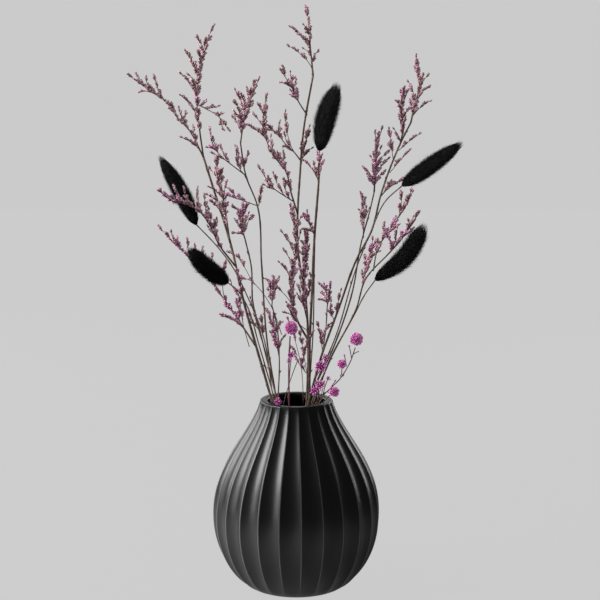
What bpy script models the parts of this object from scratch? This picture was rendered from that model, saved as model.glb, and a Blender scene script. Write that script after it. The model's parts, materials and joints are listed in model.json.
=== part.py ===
"""Dried bunny tail grass and statice standing in a fluted black vase.

Run with: blender --background --python part.py
The frame: +Z up, the origin at the middle of the vase's foot, the viewer on the -Y side.
Sizes and routes are written in millimetres and become metres through MM.
"""

import math

import bmesh
import bpy
from mathutils import Vector

MM = 0.001
GAP = 0.35

# The vase
VASE_HEIGHT = 160
FOOT_RADIUS = 35
BELLY_RADIUS = 70
BELLY_HEIGHT = 62
RIM_RADIUS = 30.5
MOUTH_RADIUS = 24
WALL = 5.5
FLOOR = 7
LIP_HEIGHT = 2
SHOULDER_SLOPE = 0.29
FLUTES = 24
FLUTE_DEPTH = 2.6
STEPS_PER_FLUTE = 2
FLUTE_TURN = math.radians(-90 + 3.5)

# The bunny tails
TAIL_BORE_DEPTH = 7
TAIL_BORE_GAP = 0.8
TAIL_STRAIGHT_RUN = 6
TAIL_FULLNESS = (0.42, 0.80, 0.97, 1.0, 0.93, 0.76, 0.34)

# The statice spikes
SPIKE_RADIUS = 1.9
SPIKE_LENGTH = 17
TWIG_RADIUS = 0.55
SPIKE_SPREAD = 1.5

# Grass stems: name: (foot radius, top radius, points from the vase's floor up)
TAIL_STEMS = {
    "tail_1_stem": (0.7, 0.6, [(19, -16, 11), (-19, -10.5, 163), (-28, -7.5, 218), (-40, -7, 248),
                               (-52, -9, 273), (-64, -12, 290), (-81, -16, 309)]),
    "tail_2_stem": (0.7, 0.6, [(16.5, 8.5, 11), (-19, 4, 162), (-31, 2, 206), (-41, 0, 240),
                               (-48, -6, 253), (-56, -14, 261)]),
    "tail_3_stem": (0.7, 0.6, [(24, 8.5, 11), (11, 5.5, 165), (14, 5, 217), (15, 4, 276),
                               (16, 2, 313), (19, 2, 349), (19, 6, 367)]),
    "tail_4_stem": (0.7, 0.6, [(-27.5, 9.5, 11), (12, -1, 163), (34, -3, 218), (49, -6, 271),
                               (61, -8, 302), (73, -10, 328), (86, -10, 340)]),
    "tail_5_stem": (0.7, 0.6, [(-27, -10.5, 11), (15, 1.5, 163), (32, 6, 200), (49, 10, 231),
                               (57, 14, 246), (66, 18, 258)]),
}

# Bunny tails: name: (its stem, its radius, points from the base to the tip)
TAIL_HEADS = {
    "tail_1_head": ("tail_1_stem", 7.6, [(-81, -16, 309), (-93, -20, 336), (-108, -24, 363)]),
    "tail_2_head": ("tail_2_stem", 8.4, [(-56, -14, 261), (-70, -30, 274), (-84, -48, 292)]),
    "tail_3_head": ("tail_3_stem", 9.6, [(19, 6, 367), (24, 12, 392), (33, 20, 418)]),
    "tail_4_head": ("tail_4_stem", 7.7, [(86, -10, 340), (109, -14, 357), (131, -20, 374)]),
    "tail_5_head": ("tail_5_stem", 8.9, [(66, 18, 258), (90, 26, 275), (107, 30, 301)]),
}

# Statice stems: name: (foot radius, top radius, points from the vase's floor up)
STATICE_STEMS = {
    "statice_1_stem": (1.5, 1.1, [(2.5, -23, 11), (-21, -1, 161), (-33, 3.5, 203), (-44, 8, 243),
                                  (-54, 15, 287), (-69, 22, 335), (-77, 26, 360)]),
    "statice_2_stem": (1.1, 0.7, [(-3, 5.5, 11), (-17, -5, 164), (-23.5, -13.5, 208), (-28, -26, 279),
                                  (-31, -30, 326), (-40, -36, 351), (-44, -40, 377)]),
    "statice_3_stem": (0.9, 0.7, [(19.5, 9.5, 11), (-17, 7, 161), (-29, 5, 212), (-36, 4, 242),
                                  (-37, 0, 272), (-42, -4, 296)]),
    "statice_4_stem": (1.5, 1.0, [(0, -13.5, 11), (9, 7.5, 159), (10, 13.5, 203), (8, 18, 241),
                                  (1, 26, 285), (1, 30, 310), (3, 36, 343), (6, 42, 380),
                                  (14, 46, 426)]),
    "statice_5_stem": (1.6, 1.1, [(20.5, 6, 11), (11, -4, 162), (11, -6.5, 206), (13, -6, 252),
                                  (15, -10, 299), (17, -12, 327), (18, -12, 340)]),
    "statice_6_stem": (1.4, 0.9, [(-17, -21.5, 11), (11, -10, 163), (20, -4.5, 195), (36, 6, 238),
                                  (50, 8, 277), (62, 10, 300), (70, 12, 331), (80, 14, 359),
                                  (87, 16, 375), (94, 16, 389)]),
    "statice_7_stem": (1.0, 0.7, [(-9.5, -0.5, 11), (12, 3.5, 162), (31, 10.5, 202),
                                  (47, 20, 248), (54, 26, 287), (62, 30, 317), (65, 32, 330)]),
    "statice_8_stem": (1.0, 0.7, [(-18, -8.5, 11), (15, -12, 162), (29, -16, 200), (49, -22, 241),
                                  (56, -28, 266), (74, -36, 288)]),
    "statice_9_stem": (0.8, 0.6, [(-23.5, -8, 11), (12, 11.5, 162), (22, 20, 197), (25, 26, 217),
                                  (26, 30, 233)]),
    "statice_10_stem": (0.8, 0.6, [(-21, 5.5, 11), (-15, -1, 164), (-14, -3, 193), (-17, -6, 229),
                                   (-20, -8, 241)]),
}

# Flowering branches: name: (foot radius, points out along it, spike tips)
BRANCHES = {
    "statice_1_right_arm": (0.9,
        [(-77, 26, 360), (-80, 29, 382), (-82, 32, 405), (-80, 36, 430), (-76, 38, 447),
         (-69, 36, 466)],
        [(-82, 42, 458), (-80, 30, 446), (-91, 28, 447), (-87, 42, 437), (-81, 38, 417),
         (-85, 24, 423), (-89, 36, 427), (-95, 28, 428), (-95, 22, 411)]),
    "statice_1_droop_twig": (0.6,
        [(-82, 31, 403), (-73, 24, 399), (-64, 18, 394), (-56, 14, 384)],
        [(-74, 20, 406), (-64, 24, 402), (-60, 12, 397)]),
    "statice_1_left_arm": (0.9,
        [(-77, 25, 360), (-89, 24, 383), (-97, 20, 392), (-107, 16, 406), (-119, 12, 415),
         (-135, 8, 427)],
        [(-117, 22, 427), (-130, 16, 427), (-122, 4, 426), (-126, 2, 415), (-104, 12, 401),
         (-97, 28, 399), (-91, 18, 396), (-94, 14, 377), (-86, 34, 385)]),
    "statice_1_shoot": (0.9,
        [(-55, 14, 290), (-58, 10, 314), (-60, 6, 329), (-63, 2, 344), (-65, 0, 362)],
        [(-71, 6, 352), (-60, -4, 353), (-57, 12, 341), (-65, 10, 339), (-71, -2, 338),
         (-73, 4, 331), (-70, -6, 327)]),
    "statice_1_side": (0.9,
        [(-51, 12, 271), (-63, -2, 290), (-69, -18, 307), (-78, -32, 322), (-88, -38, 329),
         (-99, -44, 332), (-108, -48, 340)],
        [(-65, -10, 313), (-71, -14, 322), (-79, -36, 340), (-74, -22, 332), (-89, -42, 341),
         (-97, -44, 343)]),
    "statice_1_low_side": (0.9,
        [(-34, 3, 205), (-50, 10, 228), (-68, 14, 253), (-88, 14, 276), (-99, 12, 288),
         (-113, 10, 303)],
        [(-104, 18, 298), (-98, 6, 295), (-91, 20, 292), (-84, 8, 289), (-78, 18, 285),
         (-69, 8, 280), (-59, 20, 273), (-61, 2, 230), (-47, 6, 245)]),
    "statice_2_crown": (0.7,
        [(-44, -40, 377), (-41, -38, 395), (-36, -36, 410), (-33, -34, 425)],
        [(-39, -28, 420), (-43, -44, 416), (-48, -38, 419), (-48, -48, 410), (-49, -34, 402),
         (-50, -42, 398)]),
    "statice_2_left_twig": (0.6,
        [(-40, -36, 351), (-50, -40, 359), (-59, -44, 367), (-65, -46, 375), (-68, -47, 388)],
        [(-70, -52, 375), (-60, -38, 374), (-47, -46, 373)]),
    "statice_2_low_twig": (0.5,
        [(-31, -30, 326), (-39, -24, 328), (-48, -20, 331), (-57, -17, 334)],
        [(-47, -14, 333)]),
    "statice_3_crown": (0.7,
        [(-42, -4, 296), (-45, -6, 306), (-42, -8, 322)],
        [(-51, -14, 324), (-47, -2, 319), (-39, 2, 316), (-36, 6, 313), (-51, -10, 301)]),
    "statice_4_crown": (0.9,
        [(14, 46, 426), (12, 47, 446), (11, 48, 457), (9, 48, 479)],
        [(18, 52, 446), (6, 50, 448), (-6, 40, 450), (-5, 44, 466), (2, 54, 460), (6, 42, 468)]),
    "statice_4_left_twig": (0.7,
        [(9, 44, 393), (1, 40, 406), (-4, 36, 417), (-13, 32, 431)],
        [(-5, 42, 429), (-1, 46, 424), (-12, 28, 421), (-5, 30, 411)]),
    "statice_4_mid_twig": (0.7,
        [(4, 39, 355), (-2, 36, 363), (-9, 32, 370), (-17, 28, 380), (-27, 26, 383)],
        [(-9, 38, 397), (-14, 26, 388), (-10, 36, 378)]),
    "statice_4_right_twig": (0.6,
        [(4, 38, 353), (8, 34, 372), (11, 30, 385)],
        [(13, 38, 366)]),
    "statice_4_left_arm": (0.9,
        [(1, 30, 312), (-5, 24, 333), (-8, 22, 347), (-21, 18, 365), (-26, 16, 384),
         (-25, 14, 411)],
        [(-31, 8, 404), (-35, 20, 395), (-21, 24, 377), (-41, 8, 388), (-35, 16, 384),
         (-11, 28, 368), (-13, 16, 362)]),
    "statice_4_left_low": (0.6,
        [(-3, 26, 323), (-10, 22, 328), (-18, 18, 334), (-31, 12, 353)],
        [(-23, 10, 339), (-19, 22, 347), (-11, 28, 341)]),
    "statice_4_side": (1.1,
        [(10, 11, 208), (1, 4, 226), (-4, 0, 243), (-3, -3, 269), (0, -4, 287), (-1, -3, 302),
         (-5, 0, 323)],
        [(-12, -8, 302), (-10, 2, 285), (-14, -8, 277), (-27, 2, 262), (-10, -2, 234),
         (-8, 6, 241), (6, -8, 316), (1, 4, 269)]),
    "statice_4_inner": (0.7,
        [(10, 14, 220), (6, 6, 242), (6, 4, 263), (8, 4, 280), (9, 5, 299)],
        [(1, 12, 254), (5, -2, 293), (6, 12, 276)]),
    "statice_5_crown": (0.8,
        [(18, -12, 340), (18, -12, 353), (18, -12, 366)],
        [(22, -6, 359), (6, -16, 361)]),
    "statice_5_side_twig": (0.5,
        [(15, -10, 299), (10, -14, 311), (6, -18, 318)],
        [(5, -14, 305)]),
    "statice_6_crown": (0.9,
        [(94, 16, 389), (97, 18, 403), (101, 20, 418), (98, 22, 437)],
        [(107, 14, 427), (109, 26, 417), (102, 10, 413), (92, 26, 422), (109, 8, 407),
         (94, 26, 406)]),
    "statice_6_left_crown": (0.8,
        [(85, 15, 370), (87, 12, 381), (86, 8, 402), (88, 6, 418)],
        [(82, 0, 407), (86, 14, 413), (91, 2, 401), (80, 14, 384)]),
    "statice_6_low_twig": (0.6,
        [(69, 12, 328), (76, 16, 335), (87, 20, 342)],
        [(80, 24, 338)]),
    "statice_7_crown": (0.9,
        [(65, 32, 330), (66, 33, 351), (67, 34, 365), (68, 35, 378)],
        [(76, 28, 364), (77, 40, 357), (62, 40, 359), (56, 30, 351), (59, 24, 346),
         (74, 42, 346)]),
    "statice_7_low_twig": (0.6,
        [(56, 27, 292), (56, 24, 311), (55, 22, 327)],
        [(52, 16, 317), (61, 28, 317)]),
    "statice_8_crown": (0.8,
        [(74, -36, 288), (83, -40, 299), (91, -43, 311), (97, -46, 322)],
        [(89, -50, 317), (81, -34, 309), (72, -42, 305), (76, -28, 297)]),
    "statice_8_left_arm": (0.7,
        [(62, -30, 273), (66, -26, 291), (76, -22, 306), (85, -20, 319), (94, -18, 336)],
        [(84, -26, 337), (81, -14, 315), (71, -28, 312)]),
    "statice_8_low_twig": (0.6,
        [(52, -24, 252), (57, -21, 273), (61, -19, 286), (62, -18, 297)],
        [(56, -12, 283), (67, -24, 288)]),
    "statice_9_crown": (0.6,
        [(26, 30, 233), (27, 31, 241), (24, 32, 248)],
        [(20, 24, 240), (22, 38, 243)]),
    "statice_10_crown": (0.6,
        [(-20, -8, 241), (-19, -8, 251), (-18, -8, 260)],
        [(-23, -2, 253)]),
    "statice_10_side_twig": (0.6,
        [(-14, -2, 196), (-18, -5, 217), (-22, -8, 235)],
        [(-10, 2, 213), (-13, -12, 227)]),
}

# Globe sprigs: stems as above, and blooms as name: (middle, radius)
GLOBE_STEMS = {
    "globe_1_stem": (1.2, 0.7, [(-4, 0, 11), (-6, -13.5, 161), (-6, -16.5, 196), (-5, -18, 217)]),
    "globe_2_stem": (0.7, 0.5, [(-29, -4.5, 11), (18, -8, 161), (28, -12.5, 172), (37, -26, 185),
                                (44, -29, 198), (48, -30, 210)]),
}
GLOBE_BLOOMS = {
    "globe_1_bloom": ((-4, -18, 224), 5.9),
    "globe_2_bloom_top": ((49, -30, 217), 5.6),
    "globe_2_bloom_mid": ((37, -33, 197), 3.9),
    "globe_2_bloom_low": ((31, -29, 173), 4.4),
}


def clear_scene():
    for old in list(bpy.data.objects):
        bpy.data.objects.remove(old, do_unlink=True)


def new_collection(name):
    collection = bpy.data.collections.new(name)
    bpy.context.scene.collection.children.link(collection)
    return collection


def principled(name, colour, roughness):
    material = bpy.data.materials.new(name)
    material.use_nodes = True
    shader = material.node_tree.nodes["Principled BSDF"]
    shader.inputs["Base Color"].default_value = (*colour, 1)
    shader.inputs["Roughness"].default_value = roughness
    shader.inputs["Metallic"].default_value = 0
    return material


def bezier(a, b, c, d, steps):
    """Points of a cubic curve, without its last one."""
    spots = []
    for k in range(steps):
        t = k / steps
        s = 1 - t
        spots.append(a * s ** 3 + b * 3 * s * s * t + c * 3 * s * t * t + d * t ** 3)
    return spots


def smooth_path(points, steps):
    """Points of a smooth curve through the given ones, steps to each stretch."""
    gaps = [(there - here).length for here, there in zip(points, points[1:])]
    slopes = [(there - here) / gap for here, there, gap in zip(points, points[1:], gaps)]
    turns = [slopes[0]]
    for i in range(1, len(slopes)):
        turns.append((slopes[i - 1] * gaps[i] + slopes[i] * gaps[i - 1]) / (gaps[i - 1] + gaps[i]))
    turns.append(slopes[-1])
    path = []
    for i, gap in enumerate(gaps):
        first_bend = points[i] + turns[i] * gap / 3
        second_bend = points[i + 1] - turns[i + 1] * gap / 3
        path += bezier(points[i], first_bend, second_bend, points[i + 1], steps)
    return path + [points[-1]]


def lengths_along(path):
    """Distance from the path's start to each of its points."""
    run = [0.0]
    for here, there in zip(path, path[1:]):
        run.append(run[-1] + (there - here).length)
    return run


def tube(name, path, radii, rounding, collection):
    """A capped curve object along path, radii in millimetres."""
    data = bpy.data.curves.new(name, "CURVE")
    data.dimensions = "3D"
    data.bevel_depth = MM
    data.bevel_resolution = rounding
    data.use_fill_caps = True
    spline = data.splines.new("POLY")
    spline.points.add(len(path) - 1)
    for point, place, radius in zip(spline.points, path, radii):
        point.co = (*(place * MM), 1)
        point.radius = radius
    made = bpy.data.objects.new(name, data)
    collection.objects.link(made)
    return made


def tube_to_mesh(made, collection):
    """The tube as one closed mesh, its caps welded on."""
    bpy.context.view_layer.update()
    evaluated = made.evaluated_get(bpy.context.evaluated_depsgraph_get())
    mesh = bpy.data.meshes.new_from_object(evaluated)
    name = made.name
    place = made.matrix_world.copy()
    bpy.data.objects.remove(made, do_unlink=True)
    work = bmesh.new()
    work.from_mesh(mesh)
    bmesh.ops.remove_doubles(work, verts=work.verts, dist=0.01 * MM)
    work.to_mesh(mesh)
    work.free()
    solid = bpy.data.objects.new(name, mesh)
    solid.matrix_world = place
    collection.objects.link(solid)
    return solid


def boolean(solid, cutter, operation):
    cutter.hide_render = True
    cutter.display_type = "WIRE"
    step = solid.modifiers.new(cutter.name, "BOOLEAN")
    step.operation = operation
    step.object = cutter


def onion(foot, belly, neck, low, top, steps):
    """Half of the vase's outline, from the foot's edge up to the neck, as (radius, height)."""
    lean = Vector((SHOULDER_SLOPE, -1)).normalized() * 30
    foot_edge = Vector((foot, low))
    widest = Vector((belly, BELLY_HEIGHT))
    neck_edge = Vector((neck, top))
    below = BELLY_HEIGHT - low
    lower = bezier(foot_edge, foot_edge + Vector((10, 0)), widest - Vector((0, below * 0.63)),
                   widest, steps[0])
    upper = bezier(widest, widest + Vector((0, 45)), neck_edge + lean, neck_edge, steps[1])
    return lower + upper + [neck_edge]


def vase_outline():
    """The whole turned outline from the inner floor's middle, over the lip, to the foot's middle."""
    top = VASE_HEIGHT - LIP_HEIGHT
    outside = onion(FOOT_RADIUS, BELLY_RADIUS, RIM_RADIUS, 0, top, (5, 7))
    inside = onion(FOOT_RADIUS - WALL, BELLY_RADIUS - WALL, MOUTH_RADIUS, FLOOR, top, (3, 5))
    lip_middle = (RIM_RADIUS + MOUTH_RADIUS) / 2
    lip_half = (RIM_RADIUS - MOUTH_RADIUS) / 2
    lip = []
    for degrees in (135, 90, 45):
        angle = math.radians(degrees)
        lip.append(Vector((lip_middle + lip_half * math.cos(angle),
                           top + LIP_HEIGHT * math.sin(angle))))
    return [Vector((0, FLOOR))] + inside + lip + outside[::-1] + [Vector((0, 0))]


def flute_depth(height):
    """How deep the flutes are at a height: full on the belly, none at the lip and the foot."""
    from_foot = min(1, max(0, (height - 1) / 14))
    from_lip = min(1, max(0, (VASE_HEIGHT - LIP_HEIGHT - height) / 16))
    return FLUTE_DEPTH * from_foot * from_lip


def make_vase(collection):
    outline = vase_outline()
    mesh = bpy.data.meshes.new("vase_outline")
    edges = [(i, i + 1) for i in range(len(outline) - 1)]
    across, deep = math.cos(FLUTE_TURN) * MM, math.sin(FLUTE_TURN) * MM
    mesh.from_pydata([(spot.x * across, spot.x * deep, spot.y * MM) for spot in outline], edges, [])
    turned = bpy.data.objects.new("vase_outline", mesh)
    collection.objects.link(turned)
    screw = turned.modifiers.new("turn", "SCREW")
    screw.steps = FLUTES * STEPS_PER_FLUTE
    screw.render_steps = screw.steps
    screw.use_merge_vertices = True
    screw.merge_threshold = 0.00001
    vase = tube_to_mesh(turned, collection)
    vase.name = "vase_body"
    wall_middle = onion(FOOT_RADIUS - WALL / 2, BELLY_RADIUS - WALL / 2,
                        (RIM_RADIUS + MOUTH_RADIUS) / 2, FLOOR / 2, VASE_HEIGHT, (12, 20))
    for vertex in vase.data.vertices:
        x, y, z = vertex.co / MM
        radius = math.hypot(x, y)
        middle = min(wall_middle, key=lambda spot: abs(spot.y - z)).x
        if radius < middle:
            continue
        across = (math.atan2(y, x) - FLUTE_TURN) / math.tau * FLUTES
        from_ridge = 2 * abs(across - round(across))
        pulled = 1 - flute_depth(z) * (1 - (1 - from_ridge) ** 2) / radius
        vertex.co = (x * pulled * MM, y * pulled * MM, z * MM)
    vase.data.shade_smooth()
    vase.data.set_sharp_from_angle(angle=math.radians(30))
    return vase


def make_stem(name, foot_radius, top_radius, route, material, collection):
    path = smooth_path([Vector(spot) for spot in route], 2)
    run = lengths_along(path)
    radii = [foot_radius + (top_radius - foot_radius) * far / run[-1] for far in run]
    stem = tube(name, path, radii, 1, collection)
    stem.data.materials.append(material)
    return path, radii


def make_head(name, radius, route, stem_radius, material, collection, cutters):
    """A furry seed head with a blind hole for its stem's end."""
    path = smooth_path([Vector(spot) for spot in route], 3)
    radii = [radius * full for full in TAIL_FULLNESS]
    head = tube_to_mesh(tube(name, path, radii, 3, collection), collection)
    along = (path[1] - path[0]).normalized()
    hole = tube(name + "_hole", [path[0] - along, path[0] + along * TAIL_BORE_DEPTH],
                [stem_radius + TAIL_BORE_GAP] * 2, 2, cutters)
    boolean(head, tube_to_mesh(hole, cutters), "DIFFERENCE")
    head.data.materials.append(material)
    head.data.shade_smooth()


def end_in_head(route, head_route, depth):
    """The stem's route, its last point moved up into the head's hole and along its line."""
    base = Vector(head_route[0])
    path = smooth_path([Vector(spot) for spot in head_route], 3)
    along = (path[1] - path[0]).normalized()
    return route[:-1] + [tuple(base - along * TAIL_STRAIGHT_RUN), tuple(base + along * depth)]


def distance_to(spot, path):
    """How far a point is from a path's nearest stretch, and where along the path that is."""
    best = (1e9, 0)
    for i, (here, there) in enumerate(zip(path, path[1:])):
        stretch = there - here
        t = min(1, max(0, (spot - here).dot(stretch) / stretch.length_squared))
        best = min(best, ((spot - here - stretch * t).length, i))
    return best


def clear_of(spot, radius, grown):
    """Whether a point of a branch is outside every stem and branch that it starts beside."""
    for path, radii in grown:
        far, i = distance_to(spot, path)
        if far < radius + max(radii[i], radii[min(i + 1, len(radii) - 1)]) + GAP:
            return False
    return True


def spindle_radius(left, whole, twig):
    """A spike's radius, by the distance left to its tip: bare twig, then full, then closing."""
    flower = min(SPIKE_LENGTH, whole * 0.7)
    if left >= flower:
        return twig
    t = 1 - left / flower
    return twig + (SPIKE_RADIUS - twig) * math.sin(math.pi * min(1, 0.1 + t * 0.78)) ** 0.8


def make_branch(name, foot_radius, route, tips, grown, material, collection, cutters):
    """One branch: a tapered twig that ends in a spike, with side spikes joined to it."""
    path = smooth_path([Vector(spot) for spot in route], 3)
    while len(path) > 3 and not clear_of(path[0], foot_radius, grown):
        path.pop(0)
    run = lengths_along(path)
    whole = run[-1]
    radii = []
    for far in run:
        twig = foot_radius + (TWIG_RADIUS - foot_radius) * far / whole
        radii.append(spindle_radius(whole - far, whole, twig))
    branch = tube_to_mesh(tube(name, path, radii, 0, collection), collection)
    for k, tip in enumerate(tips):
        tip = Vector(tip)
        best = min(range(1, len(path) - 1), key=lambda i: leave_cost(path, run, i, tip))
        start = path[best]
        along = (path[best + 1] - path[best - 1]).normalized()
        reach = (tip - start).length
        bend = start + along * reach * 0.45
        spike = bezier(start, start.lerp(bend, 0.67), tip.lerp(bend, 0.33), tip, 3) + [tip]
        spike_run = lengths_along(spike)
        spike_radii = [spindle_radius(spike_run[-1] - far, spike_run[-1], TWIG_RADIUS * 0.9)
                       for far in spike_run]
        made = tube(f"{name}_spike_{k + 1}", spike, spike_radii, 0, cutters)
        boolean(branch, tube_to_mesh(made, cutters), "UNION")
    branch.data.materials.append(material)
    return path, radii


def leave_cost(path, run, i, tip):
    """How far point i is from the place where a side spike would slope away as it should."""
    along = (path[i + 1] - path[i - 1]).normalized()
    ahead = (tip - path[i]).dot(along)
    aside = (tip - path[i] - along * ahead).length
    return abs(ahead - SPIKE_SPREAD * aside) + 0.02 * run[i]


def make_bloom(name, middle, radius, material, collection):
    """A globe bloom, slightly taller than wide, drawn in at its foot."""
    ball = bmesh.new()
    bmesh.ops.create_uvsphere(ball, u_segments=10, v_segments=7, radius=radius * MM)
    for vertex in ball.verts:
        foot = max(0, -vertex.co.z / (radius * MM))
        vertex.co.x *= 1 - 0.25 * foot
        vertex.co.y *= 1 - 0.25 * foot
        vertex.co.z *= 1.05
    mesh = bpy.data.meshes.new(name)
    ball.to_mesh(mesh)
    ball.free()
    mesh.shade_smooth()
    bloom = bpy.data.objects.new(name, mesh)
    bloom.location = Vector(middle) * MM
    bloom.data.materials.append(material)
    collection.objects.link(bloom)


def build():
    clear_scene()
    parts = new_collection("bunny_tail_vase")
    cutters = new_collection("cutters")
    glaze = principled("satin_black_glaze", (0.03, 0.03, 0.032), 0.35)
    fur = principled("black_dyed_fur", (0.012, 0.012, 0.012), 0.9)
    straw = principled("dark_straw", (0.10, 0.065, 0.045), 0.7)
    bark = principled("brown_stem", (0.075, 0.045, 0.035), 0.75)
    floret = principled("mauve_florets", (0.26, 0.11, 0.15), 0.85)
    globe = principled("magenta_bloom", (0.42, 0.05, 0.30), 0.85)

    vase = make_vase(parts)
    vase.data.materials.append(glaze)

    for name, (foot_radius, top_radius, route) in TAIL_STEMS.items():
        head_name = name.replace("stem", "head")
        _stem, radius, head_route = TAIL_HEADS[head_name]
        route = end_in_head(route, head_route, TAIL_BORE_DEPTH - 2)
        make_stem(name, foot_radius, top_radius, route, straw, parts)
        make_head(head_name, radius, head_route, top_radius, fur, parts, cutters)

    plants = {}
    for name, (foot_radius, top_radius, route) in STATICE_STEMS.items():
        plant = name.rsplit("_", 1)[0]
        plants[plant] = [make_stem(name, foot_radius, top_radius, route, bark, parts)]
    for name, (foot_radius, route, tips) in BRANCHES.items():
        plant = "_".join(name.split("_")[:2])
        grown = plants[plant]
        grown.append(make_branch(name, foot_radius, route, tips, grown, floret, parts, cutters))

    for name, (foot_radius, top_radius, route) in GLOBE_STEMS.items():
        make_stem(name, foot_radius, top_radius, route, straw, parts)
    for name, (middle, radius) in GLOBE_BLOOMS.items():
        make_bloom(name, middle, radius, globe, parts)


build()
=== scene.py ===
"""Dried bunny tail grass, statice and globe blooms in a fluted black vase.

The frame: +Z up, the origin at the middle of the vase's foot, the viewer on the -Y side.
Routes and small models are written in millimetres and become metres through MM.
"""

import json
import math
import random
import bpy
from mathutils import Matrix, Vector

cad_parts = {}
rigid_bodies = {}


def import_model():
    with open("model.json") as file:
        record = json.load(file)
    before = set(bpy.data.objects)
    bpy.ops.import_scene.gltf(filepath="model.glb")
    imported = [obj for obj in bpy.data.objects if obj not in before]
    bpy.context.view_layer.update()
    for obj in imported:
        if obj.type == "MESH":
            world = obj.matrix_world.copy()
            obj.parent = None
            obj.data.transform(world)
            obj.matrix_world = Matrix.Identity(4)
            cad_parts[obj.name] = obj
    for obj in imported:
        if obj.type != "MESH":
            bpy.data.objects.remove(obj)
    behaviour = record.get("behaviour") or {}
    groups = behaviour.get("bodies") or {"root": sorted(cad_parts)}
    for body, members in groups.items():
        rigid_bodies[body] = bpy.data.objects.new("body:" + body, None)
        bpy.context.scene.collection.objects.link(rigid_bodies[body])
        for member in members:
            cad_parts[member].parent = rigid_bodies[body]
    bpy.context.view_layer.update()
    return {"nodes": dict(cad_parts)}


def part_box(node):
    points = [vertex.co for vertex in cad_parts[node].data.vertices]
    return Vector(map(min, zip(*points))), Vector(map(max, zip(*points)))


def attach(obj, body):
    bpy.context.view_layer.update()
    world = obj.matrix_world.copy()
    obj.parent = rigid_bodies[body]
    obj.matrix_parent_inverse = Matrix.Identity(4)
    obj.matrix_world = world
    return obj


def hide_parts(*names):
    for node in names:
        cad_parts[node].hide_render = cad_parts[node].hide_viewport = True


bl_info = {
    "name": "Bunny Tail Vase",
    "version": (1, 0, 0),
    "blender": (4, 5, 0),
    "location": "View3D > Sidebar > Bunny Tail Vase",
    "description": "Dresses a fluted black vase of bunny tail grass, statice and globe blooms",
    "category": "Add Mesh",
}

from bisect import bisect_right

import bmesh
import bpy
import numpy as np
from bpy.props import FloatProperty, FloatVectorProperty, IntProperty, PointerProperty
from mathutils import Matrix, Quaternion, Vector

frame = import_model()

MM = 0.001
GOLDEN_TURN = math.pi * (3 - math.sqrt(5))

# Grass stems: name: (foot radius, top radius, points from the vase's floor up)
TAIL_STEMS = {
    "tail_1_stem": (0.7, 0.6, [
        (19, -16, 11), (-19, -10.5, 163), (-28, -7.5, 218), (-40, -7, 248), (-52, -9, 273),
        (-64, -12, 290), (-81, -16, 309)]),
    "tail_2_stem": (0.7, 0.6, [
        (16.5, 8.5, 11), (-19, 4, 162), (-31, 2, 206), (-41, 0, 240), (-48, -6, 253),
        (-56, -14, 261)]),
    "tail_3_stem": (0.7, 0.6, [
        (24, 8.5, 11), (11, 5.5, 165), (14, 5, 217), (15, 4, 276), (16, 2, 313), (19, 2, 349),
        (19, 6, 367)]),
    "tail_4_stem": (0.7, 0.6, [
        (-27.5, 9.5, 11), (12, -1, 163), (34, -3, 218), (49, -6, 271), (61, -8, 302),
        (73, -10, 328), (86, -10, 340)]),
    "tail_5_stem": (0.7, 0.6, [
        (-27, -10.5, 11), (15, 1.5, 163), (32, 6, 200), (49, 10, 231), (57, 14, 246), (66, 18, 258)]),
}

# Short straws that stand in the mouth, by the stem that each one belongs with
STRAW_TWIGS = {
    "tail_4_stem": [
        [(8, -10, 144), (12, -13, 156), (15, -15, 168)],
        [(10, -10, 144), (16, -14, 157), (23, -18, 167)],
        [(12, -9, 144), (20, -12, 157), (28, -14, 167)],
        [(14, -8, 144), (17, -14, 160), (19, -18, 171)],
        [(9, -11, 144), (9, -15, 157), (7, -17, 167)],
        [(15, -6, 144), (19, -8, 157), (22, -9, 172)],
        [(-16, -3, 144), (-19, -9, 158), (-25, -14, 176)],
        [(-13, -3, 144), (-10, -8, 160), (-4, -14, 182), (1, -16, 196)]],
}

# Bunny tails: name: (radius, share where it is widest, bluntness, points from base to tip)
TAIL_HEADS = {
    "tail_1_head": (7.6, 0.42, 2.2, [(-81, -16, 309), (-93, -20, 336), (-108, -24, 363)]),
    "tail_2_head": (8.4, 0.36, 3.6, [(-56, -14, 261), (-70, -30, 274), (-84, -48, 292)]),
    "tail_3_head": (9.6, 0.48, 3.0, [(19, 6, 367), (24, 12, 392), (33, 20, 418)]),
    "tail_4_head": (7.7, 0.40, 2.5, [(86, -10, 340), (109, -14, 357), (131, -20, 374)]),
    "tail_5_head": (8.9, 0.52, 4.6, [(66, 18, 258), (90, 26, 275), (107, 30, 301)]),
}

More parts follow.
